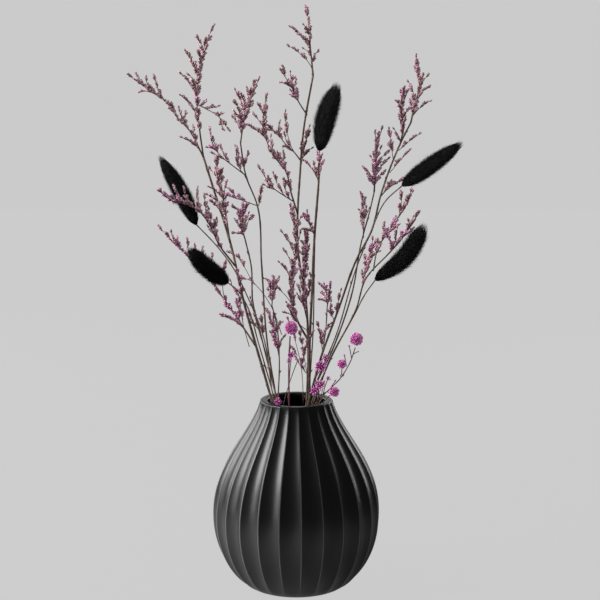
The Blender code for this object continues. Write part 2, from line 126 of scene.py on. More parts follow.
# Statice stems: name: (foot radius, top radius, points from the vase's floor up)
STATICE_STEMS = {
    "statice_1_stem": (1.5, 1.1, [
        (2.5, -23, 11), (-21, -1, 161), (-33, 3.5, 203), (-44, 8, 243), (-54, 15, 287),
        (-69, 22, 335), (-77, 26, 360)]),
    "statice_2_stem": (1.1, 0.7, [
        (-3, 5.5, 11), (-17, -5, 164), (-23.5, -13.5, 208), (-28, -26, 279), (-31, -30, 326),
        (-40, -36, 351), (-44, -40, 377)]),
    "statice_3_stem": (0.9, 0.7, [
        (19.5, 9.5, 11), (-17, 7, 161), (-29, 5, 212), (-36, 4, 242), (-37, 0, 272), (-42, -4, 296)]),
    "statice_4_stem": (1.5, 1.0, [
        (0, -13.5, 11), (9, 7.5, 159), (10, 13.5, 203), (8, 18, 241), (1, 26, 285), (1, 30, 310),
        (3, 36, 343), (6, 42, 380), (14, 46, 426)]),
    "statice_5_stem": (1.6, 1.1, [
        (20.5, 6, 11), (11, -4, 162), (11, -6.5, 206), (13, -6, 252), (15, -10, 299),
        (17, -12, 327), (18, -12, 340)]),
    "statice_6_stem": (1.4, 0.9, [
        (-17, -21.5, 11), (11, -10, 163), (20, -4.5, 195), (36, 6, 238), (50, 8, 277),
        (62, 10, 300), (70, 12, 331), (80, 14, 359), (87, 16, 375), (94, 16, 389)]),
    "statice_7_stem": (1.0, 0.7, [
        (-9.5, -0.5, 11), (12, 3.5, 162), (31, 10.5, 202), (47, 20, 248), (54, 26, 287),
        (62, 30, 317), (65, 32, 330)]),
    "statice_8_stem": (1.0, 0.7, [
        (-18, -8.5, 11), (15, -12, 162), (29, -16, 200), (49, -22, 241), (56, -28, 266),
        (74, -36, 288)]),
    "statice_9_stem": (0.8, 0.6, [
        (-23.5, -8, 11), (12, 11.5, 162), (22, 20, 197), (25, 26, 217), (26, 30, 233)]),
    "statice_10_stem": (0.8, 0.6, [
        (-21, 5.5, 11), (-15, -1, 164), (-14, -3, 193), (-17, -6, 229), (-20, -8, 241)]),
}

# Flowering branches: name: (foot radius, points out along it, spike tips)
BRANCHES = {
    "statice_1_right_arm": (0.9,
        [(-77, 26, 360), (-80, 29, 382), (-82, 32, 405), (-80, 36, 430), (-76, 38, 447),
         (-69, 36, 466)],
        [(-82, 42, 458), (-80, 30, 446), (-91, 28, 447), (-87, 42, 437), (-81, 38, 417),
         (-85, 24, 423), (-89, 36, 427), (-95, 28, 428), (-95, 22, 411)]),
    "statice_1_droop_twig": (0.6,
        [(-82, 31, 403), (-73, 24, 399), (-64, 18, 394), (-56, 14, 384)],
        [(-74, 20, 406), (-64, 24, 402), (-60, 12, 397)]),
    "statice_1_left_arm": (0.9,
        [(-77, 25, 360), (-89, 24, 383), (-97, 20, 392), (-107, 16, 406), (-119, 12, 415),
         (-135, 8, 427)],
        [(-117, 22, 427), (-130, 16, 427), (-122, 4, 426), (-126, 2, 415), (-104, 12, 401),
         (-97, 28, 399), (-91, 18, 396), (-94, 14, 377), (-86, 34, 385)]),
    "statice_1_shoot": (0.9,
        [(-55, 14, 290), (-58, 10, 314), (-60, 6, 329), (-63, 2, 344), (-65, 0, 362)],
        [(-71, 6, 352), (-60, -4, 353), (-57, 12, 341), (-65, 10, 339), (-71, -2, 338),
         (-73, 4, 331), (-70, -6, 327)]),
    "statice_1_side": (0.9,
        [(-51, 12, 271), (-63, -2, 290), (-69, -18, 307), (-78, -32, 322), (-88, -38, 329),
         (-99, -44, 332), (-108, -48, 340)],
        [(-65, -10, 313), (-71, -14, 322), (-79, -36, 340), (-74, -22, 332), (-89, -42, 341),
         (-97, -44, 343)]),
    "statice_1_low_side": (0.9,
        [(-34, 3, 205), (-50, 10, 228), (-68, 14, 253), (-88, 14, 276), (-99, 12, 288),
         (-113, 10, 303)],
        [(-104, 18, 298), (-98, 6, 295), (-91, 20, 292), (-84, 8, 289), (-78, 18, 285),
         (-69, 8, 280), (-59, 20, 273), (-61, 2, 230), (-47, 6, 245)]),
    "statice_2_crown": (0.7,
        [(-44, -40, 377), (-41, -38, 395), (-36, -36, 410), (-33, -34, 425)],
        [(-39, -28, 420), (-43, -44, 416), (-48, -38, 419), (-48, -48, 410), (-49, -34, 402),
         (-50, -42, 398)]),
    "statice_2_left_twig": (0.6,
        [(-40, -36, 351), (-50, -40, 359), (-59, -44, 367), (-65, -46, 375), (-68, -47, 388)],
        [(-70, -52, 375), (-60, -38, 374), (-47, -46, 373)]),
    "statice_2_low_twig": (0.5,
        [(-31, -30, 326), (-39, -24, 328), (-48, -20, 331), (-57, -17, 334)],
        [(-47, -14, 333)]),
    "statice_3_crown": (0.7,
        [(-42, -4, 296), (-45, -6, 306), (-42, -8, 322)],
        [(-51, -14, 324), (-47, -2, 319), (-39, 2, 316), (-36, 6, 313), (-51, -10, 301)]),
    "statice_4_crown": (0.9,
        [(14, 46, 426), (12, 47, 446), (11, 48, 457), (9, 48, 479)],
        [(18, 52, 446), (6, 50, 448), (-6, 40, 450), (-5, 44, 466), (2, 54, 460), (6, 42, 468)]),
    "statice_4_left_twig": (0.7,
        [(9, 44, 393), (1, 40, 406), (-4, 36, 417), (-13, 32, 431)],
        [(-5, 42, 429), (-1, 46, 424), (-12, 28, 421), (-5, 30, 411)]),
    "statice_4_mid_twig": (0.7,
        [(4, 39, 355), (-2, 36, 363), (-9, 32, 370), (-17, 28, 380), (-27, 26, 383)],
        [(-9, 38, 397), (-14, 26, 388), (-10, 36, 378)]),
    "statice_4_right_twig": (0.6,
        [(4, 38, 353), (8, 34, 372), (11, 30, 385)],
        [(13, 38, 366)]),
    "statice_4_left_arm": (0.9,
        [(1, 30, 312), (-5, 24, 333), (-8, 22, 347), (-21, 18, 365), (-26, 16, 384), (-25, 14, 411)],
        [(-31, 8, 404), (-35, 20, 395), (-21, 24, 377), (-41, 8, 388), (-35, 16, 384),
         (-11, 28, 368), (-13, 16, 362)]),
    "statice_4_left_low": (0.6,
        [(-3, 26, 323), (-10, 22, 328), (-18, 18, 334), (-31, 12, 353)],
        [(-23, 10, 339), (-19, 22, 347), (-11, 28, 341)]),
    "statice_4_side": (1.1,
        [(10, 11, 208), (1, 4, 226), (-4, 0, 243), (-3, -3, 269), (0, -4, 287), (-1, -3, 302),
         (-5, 0, 323)],
        [(-12, -8, 302), (-10, 2, 285), (-14, -8, 277), (-27, 2, 262), (-10, -2, 234),
         (-8, 6, 241), (6, -8, 316), (1, 4, 269)]),
    "statice_4_inner": (0.7,
        [(10, 14, 220), (6, 6, 242), (6, 4, 263), (8, 4, 280), (9, 5, 299)],
        [(1, 12, 254), (5, -2, 293), (6, 12, 276)]),
    "statice_5_crown": (0.8,
        [(18, -12, 340), (18, -12, 353), (18, -12, 366)],
        [(22, -6, 359), (6, -16, 361)]),
    "statice_5_side_twig": (0.5,
        [(15, -10, 299), (10, -14, 311), (6, -18, 318)],
        [(5, -14, 305)]),
    "statice_6_crown": (0.9,
        [(94, 16, 389), (97, 18, 403), (101, 20, 418), (98, 22, 437)],
        [(107, 14, 427), (109, 26, 417), (102, 10, 413), (92, 26, 422), (109, 8, 407),
         (94, 26, 406)]),
    "statice_6_left_crown": (0.8,
        [(85, 15, 370), (87, 12, 381), (86, 8, 402), (88, 6, 418)],
        [(82, 0, 407), (86, 14, 413), (91, 2, 401), (80, 14, 384)]),
    "statice_6_low_twig": (0.6,
        [(69, 12, 328), (76, 16, 335), (87, 20, 342)],
        [(80, 24, 338)]),
    "statice_7_crown": (0.9,
        [(65, 32, 330), (66, 33, 351), (67, 34, 365), (68, 35, 378)],
        [(76, 28, 364), (77, 40, 357), (62, 40, 359), (56, 30, 351), (59, 24, 346), (74, 42, 346)]),
    "statice_7_low_twig": (0.6,
        [(56, 27, 292), (56, 24, 311), (55, 22, 327)],
        [(52, 16, 317), (61, 28, 317)]),
    "statice_8_crown": (0.8,
        [(74, -36, 288), (83, -40, 299), (91, -43, 311), (97, -46, 322)],
        [(89, -50, 317), (81, -34, 309), (72, -42, 305), (76, -28, 297)]),
    "statice_8_left_arm": (0.7,
        [(62, -30, 273), (66, -26, 291), (76, -22, 306), (85, -20, 319), (94, -18, 336)],
        [(84, -26, 337), (81, -14, 315), (71, -28, 312)]),
    "statice_8_low_twig": (0.6,
        [(52, -24, 252), (57, -21, 273), (61, -19, 286), (62, -18, 297)],
        [(56, -12, 283), (67, -24, 288)]),
    "statice_9_crown": (0.6,
        [(26, 30, 233), (27, 31, 241), (24, 32, 248)],
        [(20, 24, 240), (22, 38, 243)]),
    "statice_10_crown": (0.6,
        [(-20, -8, 241), (-19, -8, 251), (-18, -8, 260)],
        [(-23, -2, 253)]),
    "statice_10_side_twig": (0.6,
        [(-14, -2, 196), (-18, -5, 217), (-22, -8, 235)],
        [(-10, 2, 213), (-13, -12, 227)]),
}

# Thin twigs too fine to be parts of their own, by the branch that each one belongs with
FINE_TWIGS = {
    "statice_10_crown": [
        [(-12, -6, 216), (-20, -8, 239), (-28, -8, 252), (-36, -6, 261), (-43, -4, 273),
         (-49, -2, 281), (-56, 0, 284)],
        [(-34, -6, 258), (-39, 0, 261), (-44, 2, 262)]],
    "statice_1_low_side": [
        [(-39, 3, 204), (-44, 0, 224), (-46, -2, 239), (-45, -4, 252), (-48, -4, 269)],
        [(-43, -2, 220), (-51, -4, 228), (-62, -6, 233)],
        [(-44, -2, 228), (-47, -8, 238), (-49, -10, 246)],
        [(-46, -4, 246), (-52, -4, 255), (-54, -4, 260)]],
    "statice_3_crown": [
        [(-29, 8, 209), (-33, 12, 222), (-36, 12, 234), (-38, 10, 244)],
        [(-28, 4, 213), (-28, 2, 222), (-29, 2, 230)],
        [(-32, 10, 218), (-37, 6, 225), (-39, 4, 232)]],
    "statice_2_crown": [
        [(-30, -30, 326), (-29, -30, 333), (-28, -28, 340)]],
    "statice_2_left_twig": [
        [(-42, -37, 358), (-45, -38, 366), (-48, -38, 374)],
        [(-41, -37, 358), (-40, -36, 362), (-38, -36, 368)]],
    "statice_6_low_twig": [
        [(77, 13, 348), (85, 12, 358), (93, 10, 367)]],
    "statice_6_left_crown": [
        [(84, 15, 366), (93, 14, 374), (101, 12, 380)],
        [(80, 14, 357), (78, 14, 370), (76, 14, 384)]],
    "statice_7_low_twig": [
        [(27, 8, 214), (33, 4, 232), (35, 2, 244), (37, 2, 252)],
        [(31, 6, 227), (28, 10, 234), (29, 12, 241)]],
    "statice_9_crown": [
        [(22, 20, 197), (20, 17, 211), (18, 16, 221)],
        [(22, 19, 204), (24, 22, 213), (29, 22, 220)]],
    "statice_10_side_twig": [
        [(6, -14, 160), (4, -14, 191), (-2, -12, 216), (-7, -10, 230)],
        [(4, -14, 190), (6, -16, 200), (7, -16, 207)],
        [(1, -13, 200), (-2, -13, 204), (-4, -13, 207)]],
    "statice_5_side_twig": [
        [(11, -6, 164), (9, -12, 182), (5, -14, 208), (3, -14, 219)],
        [(8, -12, 185), (3, -12, 192), (0, -10, 196)],
        [(6, -14, 202), (10, -16, 212), (14, -18, 221)]],
    "statice_4_inner": [
        [(10, 13, 215), (0, 2, 226), (-7, -4, 239)],
        [(8, 6, 242), (11, 2, 253), (12, 0, 264)]],
}

# How many further spikes stand around each of the fuller branches
FULL_BRANCHES = {
    "statice_1_right_arm": 4, "statice_1_left_arm": 4, "statice_1_shoot": 7,
    "statice_1_side": 5, "statice_1_low_side": 4, "statice_2_crown": 5, "statice_3_crown": 7,
    "statice_4_crown": 3, "statice_4_left_arm": 5, "statice_4_side": 18, "statice_4_inner": 12,
    "statice_5_crown": 3, "statice_6_crown": 8, "statice_6_left_crown": 7,
    "statice_7_crown": 10, "statice_7_low_twig": 6, "statice_8_crown": 4,
    "statice_8_left_arm": 4, "statice_8_low_twig": 5, "statice_9_crown": 4,
    "statice_10_crown": 6, "statice_10_side_twig": 6,
}

# Globe sprigs: stems as above, blooms as name: (middle, radius), and twigs and buds by stem
GLOBE_STEMS = {
    "globe_1_stem": (1.2, 0.7, [(-4, 0, 11), (-6, -13.5, 161), (-6, -16.5, 196), (-5, -18, 217)]),
    "globe_2_stem": (0.7, 0.5, [
        (-29, -4.5, 11), (18, -8, 161), (28, -12.5, 172), (37, -26, 185), (44, -29, 198),
        (48, -30, 210)]),
}
GLOBE_BLOOMS = {
    "globe_1_bloom": ((-4, -18, 224), 5.1),
    "globe_2_bloom_top": ((49, -30, 217), 5.0),
    "globe_2_bloom_mid": ((37, -33, 197), 3.6),
    "globe_2_bloom_low": ((31, -29, 173), 4.0),
}
GLOBE_TWIGS = {
    "globe_1_stem": [
        [(-6, -14.5, 172), (-5, -17, 190), (-4, -17, 199)],
        [(-8, -14, 150), (-12, -16, 156), (-15, -17, 160)]],
    "globe_2_stem": [
        [(19, -9, 162), (18, -15, 172), (16, -20, 182), (20, -20, 190)],
        [(18, -13, 168), (16, -18, 170), (15, -21, 171)],
        [(17, -17, 176), (18, -20, 177), (20, -22, 177)],
        [(18, -20, 187), (22, -19, 193), (24, -18, 198)],
        [(28, -13, 172), (30, -24, 178), (32, -28, 182)],
        [(36, -25, 185), (37, -26, 188), (37, -31, 193)],
        [(41, -28, 194), (40, -30, 200), (39, -31, 204)],
        [(45, -29, 201), (44, -29, 207), (43, -29, 211)],
        [(45, -29, 202), (47, -30, 205), (51, -30, 207)],
        [(26, -12, 169), (29, -22, 170), (31, -27, 171)],
        [(22, -10, 166), (24, -18, 176), (26, -24, 183)]],
}
GLOBE_BUDS = {
    "globe_1_stem": [((-4, -17, 201), 3.0), ((-15, -17, 162), 2.6), ((-6, -17, 196), 1.8)],
    "globe_2_stem": [((20, -20, 192), 4.2), ((15, -21, 172), 3.4), ((20, -22, 177), 3.6),
                     ((24, -18, 199), 2.6), ((26, -24, 183), 1.9), ((43, -29, 211), 1.1),
                     ((39, -31, 204), 1.0), ((32, -28, 182), 1.1), ((38, -26, 186), 1.2)],
}


# ---------------------------------------------------------------- settings

def length_setting(name, description, value, low, high):
    """A length, given in millimetres."""
    return FloatProperty(name=name, description=description, default=value * MM, min=low * MM,
                         max=high * MM, unit="LENGTH")


def colour_setting(name, description, value):
    return FloatVectorProperty(name=name, description=description, subtype="COLOR",
                               default=value, min=0, max=1)


class VaseSettings(bpy.types.PropertyGroup):
    flutes: IntProperty(
        name="Flutes", description="Hollow flutes around the vase", default=24, min=8, max=48)
    flute_depth: length_setting(
        "Flute Depth", "Depth of a flute at the belly, less where it narrows", 3.1, 0, 6)
    fade_height: length_setting(
        "Fade Height", "Height over which the flutes fade below the lip", 5, 1, 30)
    glaze: colour_setting("Glaze", "Colour of the glaze", (0.007, 0.007, 0.0073))
    # This colour is a painted highlight: a pale line along each ridge of the vase.
    ridge_highlight: colour_setting(
        "Ridge Highlight", "Colour of the painted highlight along a ridge", (0.24, 0.232, 0.222))


class TailSettings(bpy.types.PropertyGroup):
    hairs: IntProperty(
        name="Hairs", description="Hairs on each tail", default=11000, min=100, max=15000)
    hair_length: length_setting(
        "Hair Length", "Length of a hair at the middle of a tail", 7.5, 1, 15)
    hair_width: length_setting("Hair Width", "Thickness of a hair at its root", 0.15, 0.02, 1)
    core_share: FloatProperty(
        name="Core", description="Radius of the seed core as a share of the tail's",
        default=0.62, min=0.2, max=0.9, subtype="FACTOR")
    dye: colour_setting("Dye", "Colour of the dyed fur", (0.0065, 0.0064, 0.0066))
    tips: colour_setting("Hair Tips", "Colour at the ends of the hairs", (0.026, 0.024, 0.024))
    straw: colour_setting("Straw", "Colour of the grass stems", (0.115, 0.076, 0.060))


class StaticeSettings(bpy.types.PropertyGroup):
    floret_length: length_setting("Floret Length", "Length of a full floret", 3.7, 1, 8)
    floret_gap: length_setting(
        "Floret Spacing", "Distance between florets in a cluster", 0.95, 0.4, 5)
    cluster_gap: length_setting(
        "Cluster Gap", "Bare length between clusters of florets on a spike", 2.6, 0, 10)
    spike_length: length_setting(
        "Spike Length", "Length of a spike that carries florets", 19, 4, 60)
    twig_radius: length_setting("Twig Radius", "Radius of the finest twigs", 0.24, 0.1, 1)
    bark: colour_setting("Bark", "Colour of the stems", (0.100, 0.060, 0.045))
    petal: colour_setting("Petals", "Colour of the dried petals", (0.575, 0.390, 0.425))
    fresh_petal: colour_setting(
        "Fresh Petals", "Colour of the petals that kept their dye", (0.66, 0.295, 0.545))
    calyx: colour_setting("Calyx", "Colour at the foot of a floret", (0.14, 0.062, 0.070))


class GlobeSettings(bpy.types.PropertyGroup):
    petals: IntProperty(
        name="Petals", description="Petals on a bloom", default=150, min=20, max=400)
    petal: colour_setting("Petal Colour", "Colour of the petals", (0.74, 0.225, 0.54))
    # This colour is painted shade, deep between the petals.
    deep: colour_setting("Petal Foot Shade", "Colour deep between the petals", (0.16, 0.012, 0.13))


class StageSettings(bpy.types.PropertyGroup):
    backdrop: FloatProperty(
        name="Backdrop", description="Brightness of the floor and of the air behind",
        default=0.604, min=0, max=1)
    dimness: FloatProperty(
        name="Room Light", description="Brightness of the room that the pieces mirror",
        default=0.07, min=0, max=1)
    key_power: FloatProperty(
        name="Soft Box", description="Power of the soft box on the left", default=23, min=0,
        unit="POWER")
    distance: FloatProperty(
        name="Camera Distance", description="From the camera to the vase's belly",
        default=1.518, min=0.3, unit="LENGTH")
    pitch: FloatProperty(
        name="Camera Pitch", description="How far the camera looks down",
        default=math.radians(10), subtype="ANGLE")


# ---------------------------------------------------------------- paths

def bezier(a, b, c, d, steps):
    """Points of a cubic curve, without its last one."""
    spots = []
    for k in range(steps):
        t = k / steps
        s = 1 - t
        spots.append(a * s ** 3 + b * 3 * s * s * t + c * 3 * s * t * t + d * t ** 3)
    return spots


def smooth_path(points, steps):
    """Points of a smooth curve through the given ones, steps to each stretch."""
    gaps = [(there - here).length for here, there in zip(points, points[1:])]
    slopes = [(there - here) / gap for here, there, gap in zip(points, points[1:], gaps)]
    turns = [slopes[0]]
    for i in range(1, len(slopes)):
        turns.append((slopes[i - 1] * gaps[i] + slopes[i] * gaps[i - 1]) / (gaps[i - 1] + gaps[i]))
    turns.append(slopes[-1])
    path = []
    for i, gap in enumerate(gaps):
        first_bend = points[i] + turns[i] * gap / 3
        second_bend = points[i + 1] - turns[i + 1] * gap / 3
        path += bezier(points[i], first_bend, second_bend, points[i + 1], steps)
    return path + [points[-1]]


def in_metres(route):
    return [Vector(spot) * MM for spot in route]


def lengths_along(path):
    """Distance from the path's start to each of its points."""
    run = [0.0]
    for here, there in zip(path, path[1:]):
        run.append(run[-1] + (there - here).length)
    return run


def spot_at(path, run, far):
    """The point and the direction at a distance along a path."""
    i = min(max(bisect_right(run, far) - 1, 0), len(path) - 2)
    stretch = path[i + 1] - path[i]
    t = (far - run[i]) / (run[i + 1] - run[i])
    return path[i] + stretch * t, stretch.normalized()


def across(direction):
    """Two unit vectors square to a direction and to each other."""
    helper = Vector((0, 1, 0)) if abs(direction.y) < 0.9 else Vector((1, 0, 0))
    first = direction.cross(helper).normalized()
    return first, direction.cross(first)


def leaning(direction, azimuth, lean):
    """The direction tipped over by lean, towards an azimuth around it."""
    first, second = across(direction)
    aside = first * math.cos(azimuth) + second * math.sin(azimuth)
    return direction * math.cos(lean) + aside * math.sin(lean)


# ---------------------------------------------------------------- modelling

def select_only(piece):
    bpy.ops.object.select_all(action="DESELECT")
    piece.select_set(True)
    bpy.context.view_layer.objects.active = piece


def turned(name, sides, rows, turn=0.0, after_row=None):
    """A ring drawn through rows of (radius, height, shift along X) and closed at both ends."""
    bpy.ops.object.select_all(action="DESELECT")
    radius, height, shift = rows[0]
    bpy.ops.mesh.primitive_circle_add(vertices=sides, radius=radius, rotation=(0, 0, turn),
                                      location=(shift, 0, height))
    bpy.ops.object.transform_apply(location=True, rotation=True)
    piece = bpy.context.object
    piece.name = name
    bpy.ops.object.mode_set(mode="EDIT")
    bpy.ops.mesh.select_all(action="SELECT")
    for wide, high, aside in rows[1:]:
        step = (aside - shift, 0, high - height)
        bpy.ops.mesh.extrude_region_move(TRANSFORM_OT_translate={"value": step})
        bpy.ops.transform.resize(value=(wide / radius, wide / radius, 1),
                                 center_override=(aside, 0, high))
        radius, height, shift = wide, high, aside
        if after_row:
            after_row(piece.data, height)
    bpy.ops.mesh.select_all(action="SELECT")
    bpy.ops.mesh.fill_holes(sides=0)
    bpy.ops.mesh.normals_make_consistent(inside=False)
    bpy.ops.object.mode_set(mode="OBJECT")
    bpy.ops.object.shade_smooth()
    return piece


def resize_some(mesh, chosen, ring, share, centre):
    """In edit mode, resizes the chosen points of a ring about its centre."""
    bpy.ops.mesh.select_all(action="DESELECT")
    for vertex in chosen:
        vertex.select = True
    bmesh.update_edit_mesh(mesh)
    bpy.ops.transform.resize(value=(share, share, 1), center_override=centre)
    work = bmesh.from_edit_mesh(mesh)
    for vertex in ring:
        vertex.select = True
    work.select_flush(True)
    bmesh.update_edit_mesh(mesh)


def grown(name, shoots, rounding, material):
    """Round tapered shoots, each one a path and its radii, as one mesh."""
    bpy.ops.object.select_all(action="DESELECT")
    bpy.ops.curve.primitive_nurbs_path_add()
    piece = bpy.context.object
    piece.name = name
    lines = piece.data
    lines.splines.clear()
    lines.bevel_depth = 1
    lines.bevel_resolution = rounding
    lines.use_fill_caps = True
    for path, radii in shoots:
        line = lines.splines.new("POLY")
        line.points.add(len(path) - 1)
        for point, place, radius in zip(line.points, path, radii):
            point.co = (*place, 1)
            point.radius = radius
    bpy.ops.object.convert(target="MESH")
    piece = bpy.context.object
    bpy.ops.object.mode_set(mode="EDIT")
    bpy.ops.mesh.select_all(action="SELECT")
    bpy.ops.mesh.remove_doubles(threshold=0.01 * MM)
    bpy.ops.mesh.normals_make_consistent(inside=False)
    bpy.ops.object.mode_set(mode="OBJECT")
    bpy.ops.object.shade_smooth()
    piece.data.materials.append(material)
    return piece


def model_data(piece):
    """A small model's corners, faces and heights from 0 to 1, with the model taken away."""
    corners = np.array([vertex.co for vertex in piece.data.vertices])
    faces = [list(face.vertices) for face in piece.data.polygons]
    rise = corners[:, 2] - corners[:, 2].min()
    bpy.data.objects.remove(piece, do_unlink=True)
    return corners, faces, rise / rise.max()


def copied(name, model, places, tones, material):
    """Copies of a small model at the given places as one mesh, with its reach and tone kept."""
    corners, faces, rise = model
    turns = np.array([np.array(place) for place in places])
    spots = np.einsum("nij,vj->nvi", turns[:, :3, :3], corners) + turns[:, None, :3, 3]
    every = []
    for k in range(len(places)):
        first = k * len(corners)
        every += [[first + corner for corner in face] for face in faces]
    mesh = bpy.data.meshes.new(name)
    mesh.from_pydata(spots.reshape(-1, 3), [], every)
    reach = mesh.attributes.new("reach", "FLOAT", "POINT")
    reach.data.foreach_set("value", np.tile(rise, len(places)))
    tone = mesh.attributes.new("tone", "FLOAT", "POINT")
    tone.data.foreach_set("value", np.repeat(np.array(tones, float), len(corners)))
    mesh.shade_smooth()
    mesh.materials.append(material)
    piece = bpy.data.objects.new(name, mesh)
    bpy.context.scene.collection.objects.link(piece)
    return piece


def joined(first, others):
    """One piece of several, each keeping its own materials."""
    select_only(first)
    for other in others:
        other.select_set(True)
    bpy.ops.object.join()
    return first


def aimed(place, direction, roll, size):
    """The place of a small model that stands on a spot and points along a direction."""
    turn = direction.to_track_quat("Z", "Y") @ Quaternion((0, 0, 1), roll)
    return Matrix.LocRotScale(place, turn, Vector(size) * MM)


def finish(piece, nodes):
    """Gives a piece its place in the frame."""
    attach(piece, "root")
    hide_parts(*nodes)


# ---------------------------------------------------------------- shading

class Wire:
    """An output socket of a node tree, on which arithmetic adds Math nodes."""

    def __init__(self, tree, socket=None):
        self.tree = tree
        self.socket = socket

    def node(self, kind, settings=None, values=None, output=0):
        """Adds any node: its settings first, then its sockets' values or links."""
        made = self.tree.nodes.new(kind)
        for name, value in (settings or {}).items():
            setattr(made, name, value)
        for name, value in (values or {}).items():
            self.feed(made.inputs[name], value)
        return Wire(self.tree, made.outputs[output])

    def feed(self, target, value):
        """Links a wire to a socket, or sets the socket to a plain value."""
        if isinstance(value, Wire):
            self.tree.links.new(value.socket, target)
        else:
            target.default_value = value

    def math(self, operation, *values):
        return self.node("ShaderNodeMath", {"operation": operation}, dict(enumerate(values)))

    def mix(self, share, first, second):
        """A colour between two colours."""
        values = {0: share, 6: first, 7: second}
        return self.node("ShaderNodeMix", {"data_type": "RGBA"}, values, 2)

    def between(self, low, high):
        """0 below low, 1 above high and a smooth step between."""
        values = {"Value": self, "From Min": low, "From Max": high}
        return self.node("ShaderNodeMapRange", {"interpolation_type": "SMOOTHSTEP"}, values)

    def __add__(self, other):
        return self.math("ADD", self, other)

    def __radd__(self, other):
        return self.math("ADD", other, self)

    def __sub__(self, other):
        return self.math("SUBTRACT", self, other)

    def __rsub__(self, other):
        return self.math("SUBTRACT", other, self)

    def __mul__(self, other):
        return self.math("MULTIPLY", self, other)

    def __rmul__(self, other):
        return self.math("MULTIPLY", other, self)


def new_material(name, constants):
    """A material, its shader node with some sockets set, and a wire to build on."""
    material = bpy.data.materials.new(name)
    material.use_nodes = True
    tree = material.node_tree
    shader = tree.nodes["Principled BSDF"]
    for socket, value in constants.items():
        shader.inputs[socket].default_value = value
    return material, shader, Wire(tree)


def noise(wire, place, scale, detail=2.0, roughness=0.5):
    values = {"Vector": place, "Scale": scale, "Detail": detail, "Roughness": roughness}
    return wire.node("ShaderNodeTexNoise", None, values)


def object_place(wire):
    """Object coordinates, in metres."""
    return wire.node("ShaderNodeTexCoord", None, None, 3)


def axes_of(wire, place):
    """The X, Y and Z of a place, as three wires."""
    first = wire.node("ShaderNodeSeparateXYZ", None, {0: place})
    return [Wire(wire.tree, socket) for socket in first.socket.node.outputs]


def painted(wire, shader, colour, roughness):
    wire.feed(shader.inputs["Base Color"], colour)
    wire.feed(shader.inputs["Roughness"], roughness)


def bumped(wire, shader, height, distance, strength=1.0):
    values = {"Height": height, "Distance": distance, "Strength": strength}
    wire.feed(shader.inputs["Normal"], wire.node("ShaderNodeBump", None, values))


def attribute(wire, name):
    return wire.node("ShaderNodeAttribute", {"attribute_name": name}, None, 2)


def opaque(colour):
    return (*colour, 1)


def grey(brightness):
    return (brightness, brightness, brightness, 1)


def glaze_material(settings):
    """Satin black glaze: finely speckled, with a painted highlight as a pale line along each ridge.
    """
    material, shader, wire = new_material("satin_black_glaze", {"IOR": 1.6})
    place = object_place(wire)
    x, y, z = axes_of(wire, place)
    angle = wire.math("ARCTAN2", y, x)
    phase = (angle - RIDGE_TURN) * (settings.flutes / math.tau)
    from_ridge = wire.math("ABSOLUTE", wire.math("FRACT", phase + 0.5) - 0.5)
    clouds = noise(wire, place, 38, 4)
    speckle = noise(wire, place, 1500, 2).between(0.60, 0.72)
    side = z.between(VASE.height, VASE.height - 12 * MM) * z.between(4 * MM, 20 * MM)
    # Painted highlight: a thin pale line along each ridge on the vase's sides, patchy with the
    # clouds.
    ridge = (1 - from_ridge.between(0.0, 0.05)) * side * (0.35 + clouds * 0.9)
    colour = wire.mix(ridge, opaque(settings.glaze), opaque(settings.ridge_highlight))
    colour = wire.mix(speckle * 0.35, colour, (0.055, 0.053, 0.052, 1))
    painted(wire, shader, colour, 0.29 + clouds * 0.08 + speckle * 0.06)
    grain = noise(wire, place, 420, 3) + noise(wire, place, 90, 2) * 4
    bumped(wire, shader, grain, 0.02 * MM, 0.5)
    return material


def fur_material(settings):
    """Black-dyed fur, greyer and browner at the ends of the hairs."""
    material, shader, wire = new_material(
        "black_dyed_fur", {"Specular IOR Level": 0.12, "Roughness": 0.8})
    reach = attribute(wire, "reach")
    tone = attribute(wire, "tone")
    clumps = noise(wire, object_place(wire), 260, 3)
    ends = reach.between(0.45, 1.0) * (0.35 + tone * 0.65)
    colour = wire.mix(ends, opaque(settings.dye), opaque(settings.tips))
    brown = clumps.between(0.55, 0.8) * 0.5
    colour = wire.mix(brown, colour, (0.016, 0.012, 0.010, 1))
    painted(wire, shader, colour, 0.62 + clumps * 0.3)
    return material


def stem_material(name, colour, pale, roughness):
    """A dry stem: streaked along its length, with paler blotches."""
    material, shader, wire = new_material(name, {"Specular IOR Level": 0.35})
    place = object_place(wire)
    along = wire.node("ShaderNodeVectorMath", {"operation": "MULTIPLY"},
                      {0: place, 1: (1, 1, 0.04)})
    streaks = noise(wire, along, 1400, 4, 0.6)
    blotches = noise(wire, place, 70, 3)
    dark = tuple(0.45 * part for part in colour)
    shade = wire.mix(streaks.between(0.35, 0.65), opaque(dark), opaque(colour))
    shade = wire.mix(blotches.between(0.52, 0.75) * 0.75, shade, opaque(pale))
    painted(wire, shader, shade, roughness + streaks * 0.2)
    bumped(wire, shader, streaks, 0.12 * MM, 0.8)
    return material


